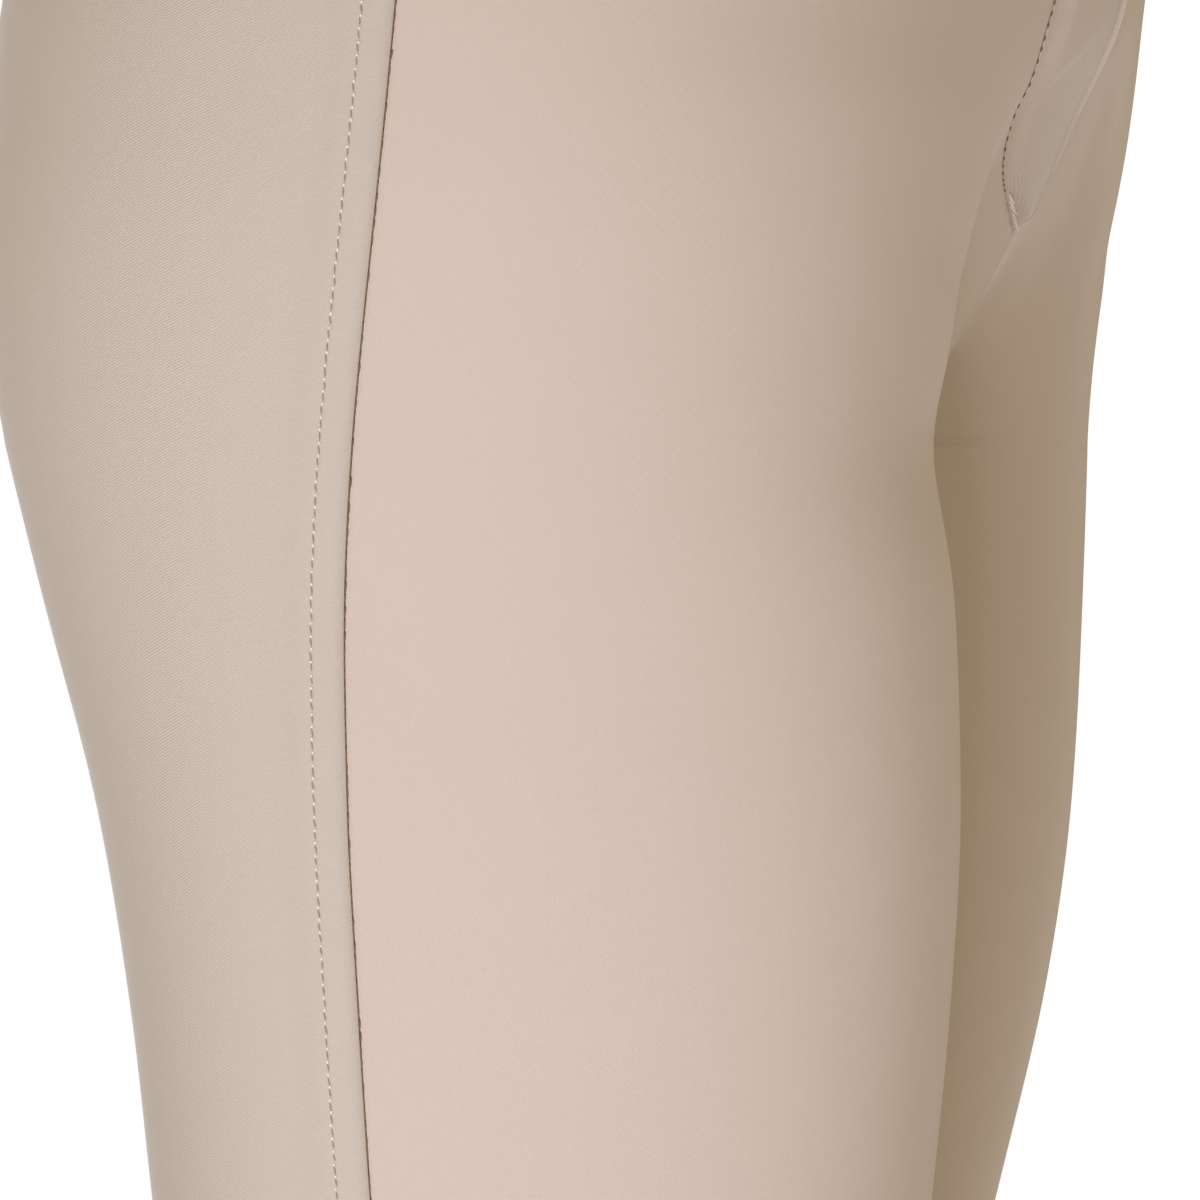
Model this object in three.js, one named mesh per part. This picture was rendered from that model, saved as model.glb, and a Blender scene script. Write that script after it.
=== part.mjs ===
// Riding breeches in stretch cloth, worn and standing, in millimetres.
// +Z is up and the front faces -Y, so the wearer's right leg is on the -X side.
// The origin is the middle of the waist opening, halfway up the waistband.
import * as THREE from 'three';

// Driving dimensions
const CLOTH = 1.6; // thickness of every cloth wall
const SEAM_GAP = 0.3; // space between two pieces that are sewn together
const ROUNDNESS = 2.15; // exponent of the sections, 2 is an ellipse
const BAND = { top: 20, bottom: -20, wall: 2.2, proud: 0.6, columns: 64 };
const BAND_LAP = { reach: 15, easing: 34, layerGap: 0.5 }; // where the band's right end lies over its left end
const CUFF = { top: -805, bottom: -900, rows: 4, columns: 30 };
const CROTCH = { z: -238, y: 10, softness: 3 }; // foot of the rise, and how gently the thighs part there
const FLY = { width: 40, curveTop: -170, bottom: -194.5, tip: -196, lift: 0.6, puff: 0.9 };
const FLY_GRID = { rows: 12, columns: 6, crowding: 1.35 }; // rows crowd together towards the foot
const FLY_LAP = { reach: 4, most: 0.4 }; // how far it passes the centre, and the most of its width
const BUTTON = { radius: 8.5, thickness: 3.2, rim: 1.1, dish: 1.3, sides: 20 };
const PANEL = { columns: 12, rowsAbove: 14, rowsBelow: 22, spreadBelow: 1.6 };
const ARC_STEPS = 24; // points on each quarter of a section
const STEP = { up: 0.6, share: 0.004, around: 1.5 }; // short steps that give the cloth's outward direction

// Half of the body, or one leg: its widest point, and how far the front and back stand out.
// frontAt and backAt say how far across the half the front and back stand out most.
const BODY = [
  { z: 20, outer: 137, frontAt: 0.03, front: 96.8, seam: -2, backAt: 0.1, back: 86 },
  { z: -20, outer: 145, frontAt: 0.03, front: 101.8, seam: 0, backAt: 0.14, back: 89 },
  { z: -60, outer: 156, frontAt: 0.03, front: 106.5, seam: 2, backAt: 0.22, back: 95 },
  { z: -105, outer: 166, frontAt: 0.03, front: 108, seam: 5, backAt: 0.32, back: 103 },
  { z: -150, outer: 171.5, frontAt: 0.05, front: 103.2, seam: 8, backAt: 0.39, back: 109.5 },
  { z: -172, outer: 172, frontAt: 0.28, front: 95, seam: 10, backAt: 0.41, back: 111.5 },
  { z: -190, outer: 171.5, frontAt: 0.38, front: 89.5, seam: 12, backAt: 0.43, back: 112.5 },
  { z: -220, outer: 168, frontAt: 0.46, front: 83.5, seam: 16, backAt: 0.47, back: 110.5 },
  { z: -240, outer: 165, frontAt: 0.5, front: 81.5, seam: 18.5, backAt: 0.5, back: 105.8 },
  { z: -270, outer: 160.5, frontAt: 0.5, front: 84, seam: 21, backAt: 0.5, back: 98.3 },
  { z: -310, outer: 156, frontAt: 0.5, front: 85, seam: 21.5, backAt: 0.5, back: 87.8 },
  { z: -350, outer: 151, frontAt: 0.5, front: 82.8, seam: 20.5, backAt: 0.5, back: 81.2 },
  { z: -390, outer: 146, frontAt: 0.5, front: 78.7, seam: 19, backAt: 0.5, back: 77 },
  { z: -470, outer: 139, frontAt: 0.5, front: 70, seam: 14, backAt: 0.5, back: 68 },
  { z: -560, outer: 132, frontAt: 0.5, front: 62, seam: 4, backAt: 0.5, back: 55 },
  { z: -610, outer: 128, frontAt: 0.5, front: 57, seam: 2, backAt: 0.5, back: 53 },
  { z: -680, outer: 127, frontAt: 0.5, front: 50, seam: 8, backAt: 0.5, back: 62 },
  { z: -740, outer: 122, frontAt: 0.5, front: 43, seam: 12, backAt: 0.5, back: 62 },
  { z: -805, outer: 112, frontAt: 0.5, front: 36, seam: 12, backAt: 0.5, back: 50 },
  { z: -860, outer: 107, frontAt: 0.5, front: 30, seam: 10, backAt: 0.5, back: 44 },
  { z: -900, outer: 107, frontAt: 0.5, front: 28, seam: 10, backAt: 0.5, back: 44 },
];

// The rise seam: how far the centre front and centre back lie from the crotch, by height above it.
const RISE = [
  { above: 0, front: 0, back: 0 },
  { above: 6, front: 52, back: 40 },
  { above: 17, front: 77.5, back: 60 },
  { above: 27, front: 84, back: 70 },
  { above: 47, front: 94.5, back: 84 },
  { above: 66, front: 103, back: 90 },
  { above: 88, front: 113, back: 91.5 },
  { above: 133, front: 118, back: 91.5 },
  { above: 178, front: 116.5, back: 88.5 },
  { above: 218, front: 111.8, back: 80 },
  { above: 258, front: 106.8, back: 76 },
];

// The inseam: its distance from the middle plane, and its shift along Y, by depth below the crotch.
const INSEAM = [
  { below: 0, inner: 0.15, shift: 0 },
  { below: 17, inner: 2.4, shift: -2 },
  { below: 32, inner: 3.4, shift: -4 },
  { below: 72, inner: 5, shift: -8 },
  { below: 112, inner: 7, shift: -10 },
  { below: 152, inner: 9, shift: -11 },
  { below: 232, inner: 14.5, shift: -9 },
  { below: 322, inner: 20, shift: -7 },
  { below: 372, inner: 23, shift: -6 },
  { below: 442, inner: 24, shift: -2 },
  { below: 502, inner: 29, shift: 0 },
  { below: 567, inner: 35, shift: -2 },
  { below: 622, inner: 38, shift: -3 },
  { below: 662, inner: 38, shift: -3 },
];

// The stance: how far each leg is carried back, by depth below the crotch.
const STANCE = [
  { below: -20, right: 0, left: 0 },
  { below: 0, right: 0, left: 0 },
  { below: 32, right: 0, left: 3.2 },
  { below: 72, right: 0, left: 6 },
  { below: 112, right: 0, left: 9 },
  { below: 152, right: 0, left: 14 },
  { below: 232, right: 0, left: 26 },
  { below: 322, right: 0, left: 38 },
  { below: 442, right: 2, left: 46 },
  { below: 567, right: 4, left: 56 },
  { below: 662, right: 4, left: 60 },
];

// The largest soft hollows, where the stretched cloth draws in.
// x is measured from the middle plane, and across and down are half widths.
const FOLDS = [
  { side: 'right', piece: 'front', x: 70, z: -200, across: 42, down: 40, depth: 3 },
  { side: 'right', piece: 'front', x: 84, z: -240, across: 46, down: 15, depth: 1.6 },
  { side: 'right', piece: 'back', x: 76, z: -590, across: 42, down: 30, depth: 3 },
  { side: 'left', piece: 'back', x: 76, z: -584, across: 40, down: 28, depth: 3.5 },
];

const CLOTH_LOOK = { color: 0xcdbba8, roughness: 0.85, metalness: 0 };
const BAND_LOOK = { color: 0xc9b7a4, roughness: 0.85, metalness: 0 };
const BUTTON_LOOK = { color: 0xb7aa98, roughness: 0.4, metalness: 0.2 };

const smoothStep = (t) => {
  const clamped = THREE.MathUtils.clamp(t, 0, 1);
  return clamped * clamped * (3 - 2 * clamped);
};

// Reads one column of a table at a place between two rows, along a smooth curve through them.
function readTable(rows, key, column, place, stretch = (value) => value) {
  const points = rows.map((row) => ({ at: stretch(row[key]), value: row[column] }));
  points.sort((a, b) => a.at - b.at);
  const last = points.length - 1;
  const at = THREE.MathUtils.clamp(stretch(place), points[0].at, points[last].at);
  let i = 0;
  while (i < last - 1 && at > points[i + 1].at) i += 1;
  const rate = (k) => (points[k + 1].value - points[k].value) / (points[k + 1].at - points[k].at);
  const slope = (k) => {
    if (k === 0) return rate(0);
    if (k === last) return rate(last - 1);
    return rate(k - 1) * rate(k) <= 0 ? 0 : (rate(k - 1) + rate(k)) / 2;
  };
  const span = points[i + 1].at - points[i].at;
  const t = (at - points[i].at) / span;
  const start = points[i].value * (2 * t ** 3 - 3 * t ** 2 + 1) + slope(i) * span * (t ** 3 - 2 * t ** 2 + t);
  const end = points[i + 1].value * (3 * t ** 2 - 2 * t ** 3) + slope(i + 1) * span * (t ** 3 - t ** 2);
  return start + end;
}

// All sizes of the section at one height.
function sectionSizes(z) {
  const above = Math.max(z - CROTCH.z, 0);
  const below = Math.max(CROTCH.z - z, 0);
  const sizes = { inner: SEAM_GAP / 2 };
  for (const column of ['outer', 'frontAt', 'front', 'seam', 'backAt', 'back']) {
    sizes[column] = readTable(BODY, 'z', column, z);
  }
  const legMiddle = CROTCH.y + readTable(INSEAM, 'below', 'shift', below, Math.sqrt);
  sizes.frontInseam = legMiddle - SEAM_GAP / 2;
  sizes.backInseam = legMiddle + SEAM_GAP / 2;
  sizes.frontEdge = sizes.frontInseam - readTable(RISE, 'above', 'front', above, Math.sqrt);
  sizes.backEdge = sizes.backInseam + readTable(RISE, 'above', 'back', above, Math.sqrt);
  sizes.inner = Math.max(sizes.inner, readTable(INSEAM, 'below', 'inner', below, Math.sqrt));
  return sizes;
}

// Depth behind the crest of a half: the leg's own round depth, held to the depth of the rise seam.
function heldDepth(legDepth, riseDepth, fullDepth) {
  if (legDepth <= 0 || riseDepth <= 0) return 0;
  const power = CROTCH.softness;
  const held = legDepth ** -power + riseDepth ** -power - fullDepth ** -power;
  return held ** (-1 / power);
}

// The outline of the front or back of one half at one height, from its inner edge to the side seam.
function halfOutline(z, piece) {
  const sizes = sectionSizes(z);
  const isFront = piece === 'front';
  const inseam = isFront ? sizes.frontInseam : sizes.backInseam;
  const edge = isFront ? sizes.frontEdge : sizes.backEdge;
  const reach = isFront ? -sizes.front : sizes.back;
  const crestAt = isFront ? sizes.frontAt : sizes.backAt;
  const crest = sizes.inner + (sizes.outer - sizes.inner) * crestAt;
  const fullDepth = Math.abs(inseam - reach);
  const riseDepth = Math.min(Math.abs(edge - reach), fullDepth);
  const inward = Math.sign(inseam - reach);
  const points = [];
  for (let i = 0; i <= ARC_STEPS; i += 1) {
    const angle = (Math.PI / 2) * (i / ARC_STEPS);
    const across = 1 - Math.max(Math.cos(angle), 0) ** (2 / ROUNDNESS);
    const legDepth = fullDepth * (1 - Math.sin(angle) ** (2 / ROUNDNESS));
    const depth = heldDepth(legDepth, riseDepth, fullDepth);
    points.push(new THREE.Vector2(sizes.inner + (crest - sizes.inner) * across, reach + inward * depth));
  }
  for (let i = 1; i <= ARC_STEPS; i += 1) {
    const angle = (Math.PI / 2) * (i / ARC_STEPS);
    const sine = Math.sin(angle) ** (2 / ROUNDNESS);
    const cosine = Math.max(Math.cos(angle), 0) ** (2 / ROUNDNESS);
    const x = crest + (sizes.outer - crest) * sine;
    points.push(new THREE.Vector2(x, sizes.seam + (reach - sizes.seam) * cosine));
  }
  return points;
}

// A line of points with its running length, so that a place on it is a distance.
function measured(points) {
  const lengths = [0];
  for (let i = 1; i < points.length; i += 1) lengths.push(lengths[i - 1] + points[i].distanceTo(points[i - 1]));
  return { points, lengths, total: lengths[lengths.length - 1] };
}

function pointAlong(line, distance) {
  const at = THREE.MathUtils.clamp(distance, 0, line.total);
  let i = 0;
  while (i < line.lengths.length - 2 && at > line.lengths[i + 1]) i += 1;
  const t = (at - line.lengths[i]) / (line.lengths[i + 1] - line.lengths[i]);
  return line.points[i].clone().lerp(line.points[i + 1], t);
}

function foldDepth(side, piece, x, z) {
  let depth = 0;
  for (const fold of FOLDS) {
    if (fold.side === side && fold.piece === piece) {
      const spread = ((x - fold.x) / fold.across) ** 2 + ((z - fold.z) / fold.down) ** 2;
      depth += fold.depth * Math.exp(-spread);
    }
  }
  return depth;
}

// One quarter of the garment as a surface, by height and by share of the way round.
// Share 0 is the inner edge, 0.5 is halfway across the half, and 1 is the side seam.
class Quarter {
  constructor(side, piece) {
    this.side = side;
    this.piece = piece;
    this.mirror = side === 'right' ? -1 : 1;
    this.outlines = new Map();
  }

  outline(z) {
    if (!this.outlines.has(z)) {
      const line = measured(halfOutline(z, this.piece));
      const halfway = (line.points[0].x + line.points[line.points.length - 1].x) / 2;
      const next = line.points.findIndex((point) => point.x > halfway);
      const [before, after] = [line.points[next - 1], line.points[next]];
      const t = (halfway - before.x) / (after.x - before.x);
      line.middle = THREE.MathUtils.lerp(line.lengths[next - 1], line.lengths[next], t);
      this.outlines.set(z, line);
    }
    return this.outlines.get(z);
  }

  distanceAt(z, share) {
    const line = this.outline(z);
    if (share < 0.5) return line.middle * share * 2;
    return line.middle + (line.total - line.middle) * (share * 2 - 1);
  }

  shareAt(z, distance) {
    const line = this.outline(z);
    if (distance < line.middle) return distance / line.middle / 2;
    return 0.5 + (distance - line.middle) / (line.total - line.middle) / 2;
  }

  smoothPoint(z, share) {
    const flat = pointAlong(this.outline(z), this.distanceAt(z, share));
    const stance = readTable(STANCE, 'below', this.side, CROTCH.z - z);
    return new THREE.Vector3(flat.x * this.mirror, flat.y + stance, z);
  }

  // Direction straight out of the cloth, from two short steps along the surface.
  outward(z, share) {
    const low = Math.max(share - STEP.share, 0);
    const high = Math.min(share + STEP.share, 1);
    const along = this.smoothPoint(z, high).sub(this.smoothPoint(z, low));
    const up = this.smoothPoint(z + STEP.up, share).sub(this.smoothPoint(z - STEP.up, share));
    const normal = along.cross(up).normalize();
    const faces = this.piece === 'front' ? this.mirror : -this.mirror;
    return normal.multiplyScalar(faces);
  }

  // A point of the cloth, raised above its outer face by a given height.
  point(z, share, height = 0) {
    const place = this.smoothPoint(z, share);
    const depth = foldDepth(this.side, this.piece, Math.abs(place.x), z);
    return place.addScaledVector(this.outward(z, share), height - depth);
  }
}

// A closed solid between an outer and an inner grid of points, given as rows of columns.
function wallGeometry(outer, inner, closedRound = false) {
  const rows = outer.length;
  const columns = outer[0].length;
  const positions = [];
  for (const grid of [outer, inner]) {
    for (const row of grid) {
      for (const point of row) positions.push(point.x, point.y, point.z);
    }
  }
  const half = rows * columns;
  const index = [];
  const quad = (a, b, c, d) => index.push(a, b, c, a, c, d);
  const steps = closedRound ? columns : columns - 1;
  for (let j = 0; j < steps; j += 1) {
    const next = (j + 1) % columns;
    for (let i = 0; i < rows - 1; i += 1) {
      const low = i * columns;
      const high = low + columns;
      quad(low + j, low + next, high + next, high + j);
      quad(half + low + j, half + high + j, half + high + next, half + low + next);
    }
    const end = (rows - 1) * columns;
    quad(j, half + j, half + next, next);
    quad(end + j, end + next, half + end + next, half + end + j);
  }
  if (!closedRound) {
    for (let i = 0; i < rows - 1; i += 1) {
      const first = i * columns;
      const last = first + columns - 1;
      quad(first, first + columns, half + first + columns, half + first);
      quad(last, half + last, half + last + columns, last + columns);
    }
  }
  const geometry = new THREE.BufferGeometry();
  geometry.setAttribute('position', new THREE.Float32BufferAttribute(positions, 3));
  geometry.setIndex(index);
  if (signedVolume(geometry) < 0) geometry.setIndex(index.reverse());
  geometry.computeVertexNormals();
  return geometry;
}

function signedVolume(geometry) {
  const position = geometry.getAttribute('position');
  const index = geometry.getIndex();
  const corners = [new THREE.Vector3(), new THREE.Vector3(), new THREE.Vector3()];
  let volume = 0;
  for (let i = 0; i < index.count; i += 3) {
    corners.forEach((corner, k) => corner.fromBufferAttribute(position, index.getX(i + k)));
    volume += corners[0].dot(corners[1].clone().cross(corners[2])) / 6;
  }
  return volume;
}

function namedMesh(name, geometry, look) {
  const mesh = new THREE.Mesh(geometry, new THREE.MeshStandardMaterial(look));
  mesh.name = name;
  return mesh;
}

// Heights of a panel's rows, closest together at the crotch.
function panelHeights() {
  const top = BAND.bottom - SEAM_GAP;
  const heights = [];
  for (let i = PANEL.rowsAbove; i > 0; i -= 1) {
    heights.push(CROTCH.z + (top - CROTCH.z) * (i / PANEL.rowsAbove) ** 2);
  }
  for (let i = 0; i <= PANEL.rowsBelow; i += 1) {
    heights.push(CROTCH.z + (CUFF.top - CROTCH.z) * (i / PANEL.rowsBelow) ** PANEL.spreadBelow);
  }
  return heights;
}

// A leg panel from the waistband to the cuff, cut along the side seam, the rise seam and the inseam.
function panel(side, piece) {
  const quarter = new Quarter(side, piece);
  const heights = panelHeights();
  const outer = [];
  const inner = [];
  for (const z of heights) {
    const sizes = sectionSizes(z);
    const sideEdge = quarter.shareAt(z, quarter.outline(z).total - SEAM_GAP / 2);
    const inseam = piece === 'front' ? sizes.frontInseam : sizes.backInseam;
    const stance = readTable(STANCE, 'below', side, CROTCH.z - z);
    const outerRow = [];
    const innerRow = [];
    for (let j = 0; j <= PANEL.columns; j += 1) {
      const share = (j / PANEL.columns) * sideEdge;
      const inside = quarter.point(z, share, -CLOTH);
      inside.z = THREE.MathUtils.clamp(inside.z, CUFF.top, BAND.bottom - SEAM_GAP);
      inside.x = quarter.mirror * Math.max(Math.abs(inside.x), SEAM_GAP / 2);
      if (j === 0 && z < CROTCH.z) inside.y = inseam + stance;
      outerRow.push(quarter.point(z, share));
      innerRow.push(inside);
    }
    outer.push(outerRow);
    inner.push(innerRow);
  }
  return namedMesh(`${piece}_${side}`, wallGeometry(outer, inner), CLOTH_LOOK);
}

// Distance of the curved fly edge from the centre front, straight above and turning in to a point below.
function flyWidth(z) {
  const drop = THREE.MathUtils.clamp((FLY.curveTop - z) / (FLY.curveTop - FLY.tip), 0, 1);
  return FLY.width * Math.sqrt(1 - drop ** 2);
}

// The fly shield, on the right front and a little way over the left front.
function flyShield() {
  const right = new Quarter('right', 'front');
  const left = new Quarter('left', 'front');
  const top = BAND.bottom - SEAM_GAP;
  const outer = [];
  const inner = [];
  for (let i = 0; i <= FLY_GRID.rows; i += 1) {
    const remaining = 1 - i / FLY_GRID.rows;
    const z = FLY.bottom + (top - FLY.bottom) * remaining ** FLY_GRID.crowding;
    const width = flyWidth(z);
    const overlap = Math.min(FLY_LAP.reach, width * FLY_LAP.most);
    const outerRow = [];
    const innerRow = [];
    for (let j = 0; j <= FLY_GRID.columns; j += 1) {
      const t = j / FLY_GRID.columns;
      const distance = -overlap + (width + overlap) * t;
      const quarter = distance < 0 ? left : right;
      const share = quarter.shareAt(z, Math.abs(distance));
      const lift = FLY.lift + FLY.puff * Math.sin(Math.PI * t);
      outerRow.push(quarter.point(z, share, lift + CLOTH));
      innerRow.push(quarter.point(z, share, lift));
    }
    for (const row of [outerRow, innerRow]) {
      for (const point of row) point.z = THREE.MathUtils.clamp(point.z, FLY.bottom - CLOTH, top);
    }
    outer.push(outerRow);
    inner.push(innerRow);
  }
  return namedMesh('fly_shield', wallGeometry(outer, inner), CLOTH_LOOK);
}

// The whole outline at one height, from the centre front round the wearer's right side and back to it.
function waistLoop(z) {
  const front = halfOutline(z, 'front');
  const back = halfOutline(z, 'back').reverse().slice(1);
  const half = [...front, ...back];
  const right = half.map((point) => new THREE.Vector2(-point.x, point.y));
  const left = [...half].reverse();
  return measured([...right, ...left]);
}

function loopPlace(loop, distance, height) {
  const wrapped = THREE.MathUtils.euclideanModulo(distance, loop.total);
  const before = pointAlong(loop, THREE.MathUtils.euclideanModulo(wrapped - STEP.around, loop.total));
  const after = pointAlong(loop, THREE.MathUtils.euclideanModulo(wrapped + STEP.around, loop.total));
  const along = after.sub(before).normalize();
  const outward = new THREE.Vector2(-along.y, along.x);
  return pointAlong(loop, wrapped).addScaledVector(outward, height);
}

// Extra height of the band's upper end where it laps over the lower end.
function bandLift(distance) {
  const lap = BAND.wall + BAND_LAP.layerGap;
  return lap * (1 - smoothStep((distance - BAND_LAP.reach) / BAND_LAP.easing));
}

// The waistband: one strip round the waist whose right end laps over its left end at the centre front.
function waistband() {
  const outer = [];
  const inner = [];
  for (const z of [BAND.top, (BAND.top + BAND.bottom) / 2, BAND.bottom]) {
    const loop = waistLoop(z);
    const outerRow = [];
    const innerRow = [];
    for (let j = 0; j <= BAND.columns; j += 1) {
      const distance = -BAND_LAP.reach + (loop.total + 2 * BAND_LAP.reach) * (j / BAND.columns);
      const height = BAND.proud + bandLift(distance);
      const outside = loopPlace(loop, distance, height);
      const inside = loopPlace(loop, distance, height - BAND.wall);
      outerRow.push(new THREE.Vector3(outside.x, outside.y, z));
      innerRow.push(new THREE.Vector3(inside.x, inside.y, z));
    }
    outer.push(outerRow);
    inner.push(innerRow);
  }
  return namedMesh('waistband', wallGeometry(outer, inner), BAND_LOOK);
}

// The elastic cuff of one leg, a short tube below the panels.
function cuff(side) {
  const quarters = [new Quarter(side, 'front'), new Quarter(side, 'back')];
  const top = CUFF.top - SEAM_GAP;
  const outer = [];
  const inner = [];
  for (let i = 0; i < CUFF.rows; i += 1) {
    const z = top + (CUFF.bottom - top) * (i / (CUFF.rows - 1));
    const outerRow = [];
    const innerRow = [];
    for (let j = 0; j < CUFF.columns; j += 1) {
      const turn = (2 * j) / CUFF.columns;
      const quarter = quarters[turn < 1 ? 0 : 1];
      const share = turn < 1 ? turn : 2 - turn;
      const inside = quarter.point(z, share, -CLOTH);
      outerRow.push(quarter.point(z, share).setZ(z));
      innerRow.push(inside.setZ(z));
    }
    outer.push(outerRow);
    inner.push(innerRow);
  }
  return namedMesh(`cuff_${side}`, wallGeometry(outer, inner, true), BAND_LOOK);
}

// The plain round button on the lapped end of the waistband, turned to face forward.
function waistButton() {
  const { radius, thickness, rim, dish, sides } = BUTTON;
  const profile = [
    new THREE.Vector2(0, 0),
    new THREE.Vector2(radius - rim, 0),
    new THREE.Vector2(radius, rim),
    new THREE.Vector2(radius, thickness - rim / 2),
    new THREE.Vector2(radius - rim / 2, thickness),
    new THREE.Vector2(radius - 2 * rim, thickness),
    new THREE.Vector2(radius - 3 * rim, thickness - dish),
    new THREE.Vector2(0, thickness - dish),
  ];
  const button = namedMesh('waist_button', new THREE.LatheGeometry(profile, sides), BUTTON_LOOK);
  const height = BAND.proud + bandLift(0) + SEAM_GAP;
  const upper = loopPlace(waistLoop(BAND.top), 0, height);
  const lower = loopPlace(waistLoop(BAND.bottom), 0, height);
  const lean = Math.atan2(upper.y - lower.y, BAND.top - BAND.bottom);
  const middle = (BAND.top + BAND.bottom) / 2;
  button.position.set(0, loopPlace(waistLoop(middle), 0, height).y, middle);
  button.rotation.x = Math.PI - lean;
  return button;
}

const breeches = new THREE.Group();
breeches.name = 'riding_breeches';
for (const side of ['right', 'left']) {
  for (const piece of ['front', 'back']) breeches.add(panel(side, piece));
  breeches.add(cuff(side));
}
breeches.add(flyShield());
breeches.add(waistband());
breeches.add(waistButton());

export default breeches;
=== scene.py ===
"""Close-fitting riding breeches in smooth stretch twill, worn and standing.

All lengths in the size tables are millimetres. +Z is up and the front faces -Y, so the wearer's
right leg is on the -X side, and the origin is the middle of the waist opening.
"""
import logging
from dataclasses import dataclass, field
from enum import Enum

import bpy
import numpy as np
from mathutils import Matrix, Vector


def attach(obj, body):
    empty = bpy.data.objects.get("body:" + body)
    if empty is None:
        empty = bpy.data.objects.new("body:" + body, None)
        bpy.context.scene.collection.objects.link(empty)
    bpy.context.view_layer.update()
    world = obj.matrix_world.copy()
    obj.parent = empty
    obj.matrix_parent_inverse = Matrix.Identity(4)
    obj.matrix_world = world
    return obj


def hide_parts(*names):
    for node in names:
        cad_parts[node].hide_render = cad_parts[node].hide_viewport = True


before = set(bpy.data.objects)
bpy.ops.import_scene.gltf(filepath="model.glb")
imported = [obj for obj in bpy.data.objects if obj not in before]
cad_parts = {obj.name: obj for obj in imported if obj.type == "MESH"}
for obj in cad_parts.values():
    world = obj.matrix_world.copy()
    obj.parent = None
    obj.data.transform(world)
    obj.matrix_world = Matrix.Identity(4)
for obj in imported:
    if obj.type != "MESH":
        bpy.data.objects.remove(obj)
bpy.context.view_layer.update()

LOG = logging.getLogger("breeches")
MM = 0.001
ARC_STEPS = 96
ROUNDNESS = 2.15
CLOTH_WALL = 1.3
SEAM_GAP = 0.3
RISE_EDGE = 0.02
CROTCH_Z = -238.0
CROTCH_Y = 10.0
CROTCH_SOFTNESS = 3.0
BAND_TOP = 20.0
BAND_BOTTOM = -20.0
CUFF_TOP = -805.0
CUFF_BOTTOM = -900.0

Color = tuple[float, float, float]


class Side(Enum):
    """A leg of the wearer. The value is the sign of its X."""

    RIGHT = -1
    LEFT = 1

    @property
    def word(self) -> str:
        """Gives the side's name as the nodes have it."""
        return self.name.lower()


class Face(Enum):
    """The front or the back of a leg. The value is its name in the nodes."""

    FRONT = "front"
    BACK = "back"


@dataclass(frozen=True)
class SizeTable:
    """A short table of sizes that is read along a smooth curve through its rows.

    The first column is the place along the body. A rooted table is read in square roots of it.
    """

    columns: tuple[str, ...]
    rows: tuple[tuple[float, ...], ...]
    rooted: bool = False

    def read(self, column: str, place: np.ndarray) -> np.ndarray:
        """Reads one column.

        Args:
            column: The name of the column.
            place: The places along the body.

        Returns:
            One value for each place.
        """
        table = np.array(sorted(self.rows), dtype=float)
        keys = table[:, 0]
        values = table[:, self.columns.index(column)]
        at = np.clip(np.asarray(place, dtype=float), keys[0], keys[-1])
        if self.rooted:
            keys = np.sqrt(keys)
            at = np.sqrt(at)
        rates = np.diff(values) / np.diff(keys)
        turning = rates[:-1] * rates[1:] <= 0
        inner = np.where(turning, 0.0, (rates[:-1] + rates[1:]) / 2)
        slopes = np.concatenate([rates[:1], inner, rates[-1:]])
        i = np.clip(np.searchsorted(keys, at) - 1, 0, len(keys) - 2)
        span = keys[i + 1] - keys[i]
        t = (at - keys[i]) / span
        start = values[i] * (2 * t**3 - 3 * t**2 + 1) + slopes[i] * span * (t**3 - 2 * t**2 + t)
        end = values[i + 1] * (3 * t**2 - 2 * t**3) + slopes[i + 1] * span * (t**3 - t**2)
        return start + end


# Half of the body, or one leg: its widest point, and how far the front and back stand out.
BODY = SizeTable(
    ("z", "outer", "front_at", "front", "seam", "back_at", "back"),
    (
        (20, 137, 0.03, 96.8, -2, 0.1, 86),
        (-20, 145, 0.03, 101.8, 0, 0.14, 89),
        (-60, 156, 0.03, 106.5, 2, 0.22, 95),
        (-105, 166, 0.03, 108, 5, 0.32, 103),
        (-150, 171.5, 0.05, 103.2, 8, 0.39, 109.5),
        (-172, 172, 0.28, 95, 10, 0.41, 111.5),
        (-190, 171.5, 0.38, 89.5, 12, 0.43, 112.5),
        (-220, 168, 0.46, 83.5, 16, 0.47, 110.5),
        (-240, 165, 0.5, 81.5, 18.5, 0.5, 105.8),
        (-270, 160.5, 0.5, 84, 21, 0.5, 98.3),
        (-310, 156, 0.5, 85, 21.5, 0.5, 87.8),
        (-350, 151, 0.5, 82.8, 20.5, 0.5, 81.2),
        (-390, 146, 0.5, 78.7, 19, 0.5, 77),
        (-470, 139, 0.5, 70, 14, 0.5, 68),
        (-560, 132, 0.5, 62, 4, 0.5, 55),
        (-610, 128, 0.5, 57, 2, 0.5, 53),
        (-680, 127, 0.5, 50, 8, 0.5, 62),
        (-740, 122, 0.5, 43, 12, 0.5, 62),
        (-805, 112, 0.5, 36, 12, 0.5, 50),
        (-860, 107, 0.5, 30, 10, 0.5, 44),
        (-900, 107, 0.5, 28, 10, 0.5, 44),
    ),
)

# The rise seam: how far the centre front and centre back lie from the crotch.
RISE = SizeTable(
    ("above", "front", "back"),
    (
        (0, 0, 0),
        (6, 52, 40),
        (17, 77.5, 60),
        (27, 84, 70),
        (47, 94.5, 84),
        (66, 103, 90),
        (88, 113, 91.5),
        (133, 118, 91.5),
        (178, 116.5, 88.5),
        (218, 111.8, 80),
        (258, 106.8, 76),
    ),
    rooted=True,
)

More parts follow.
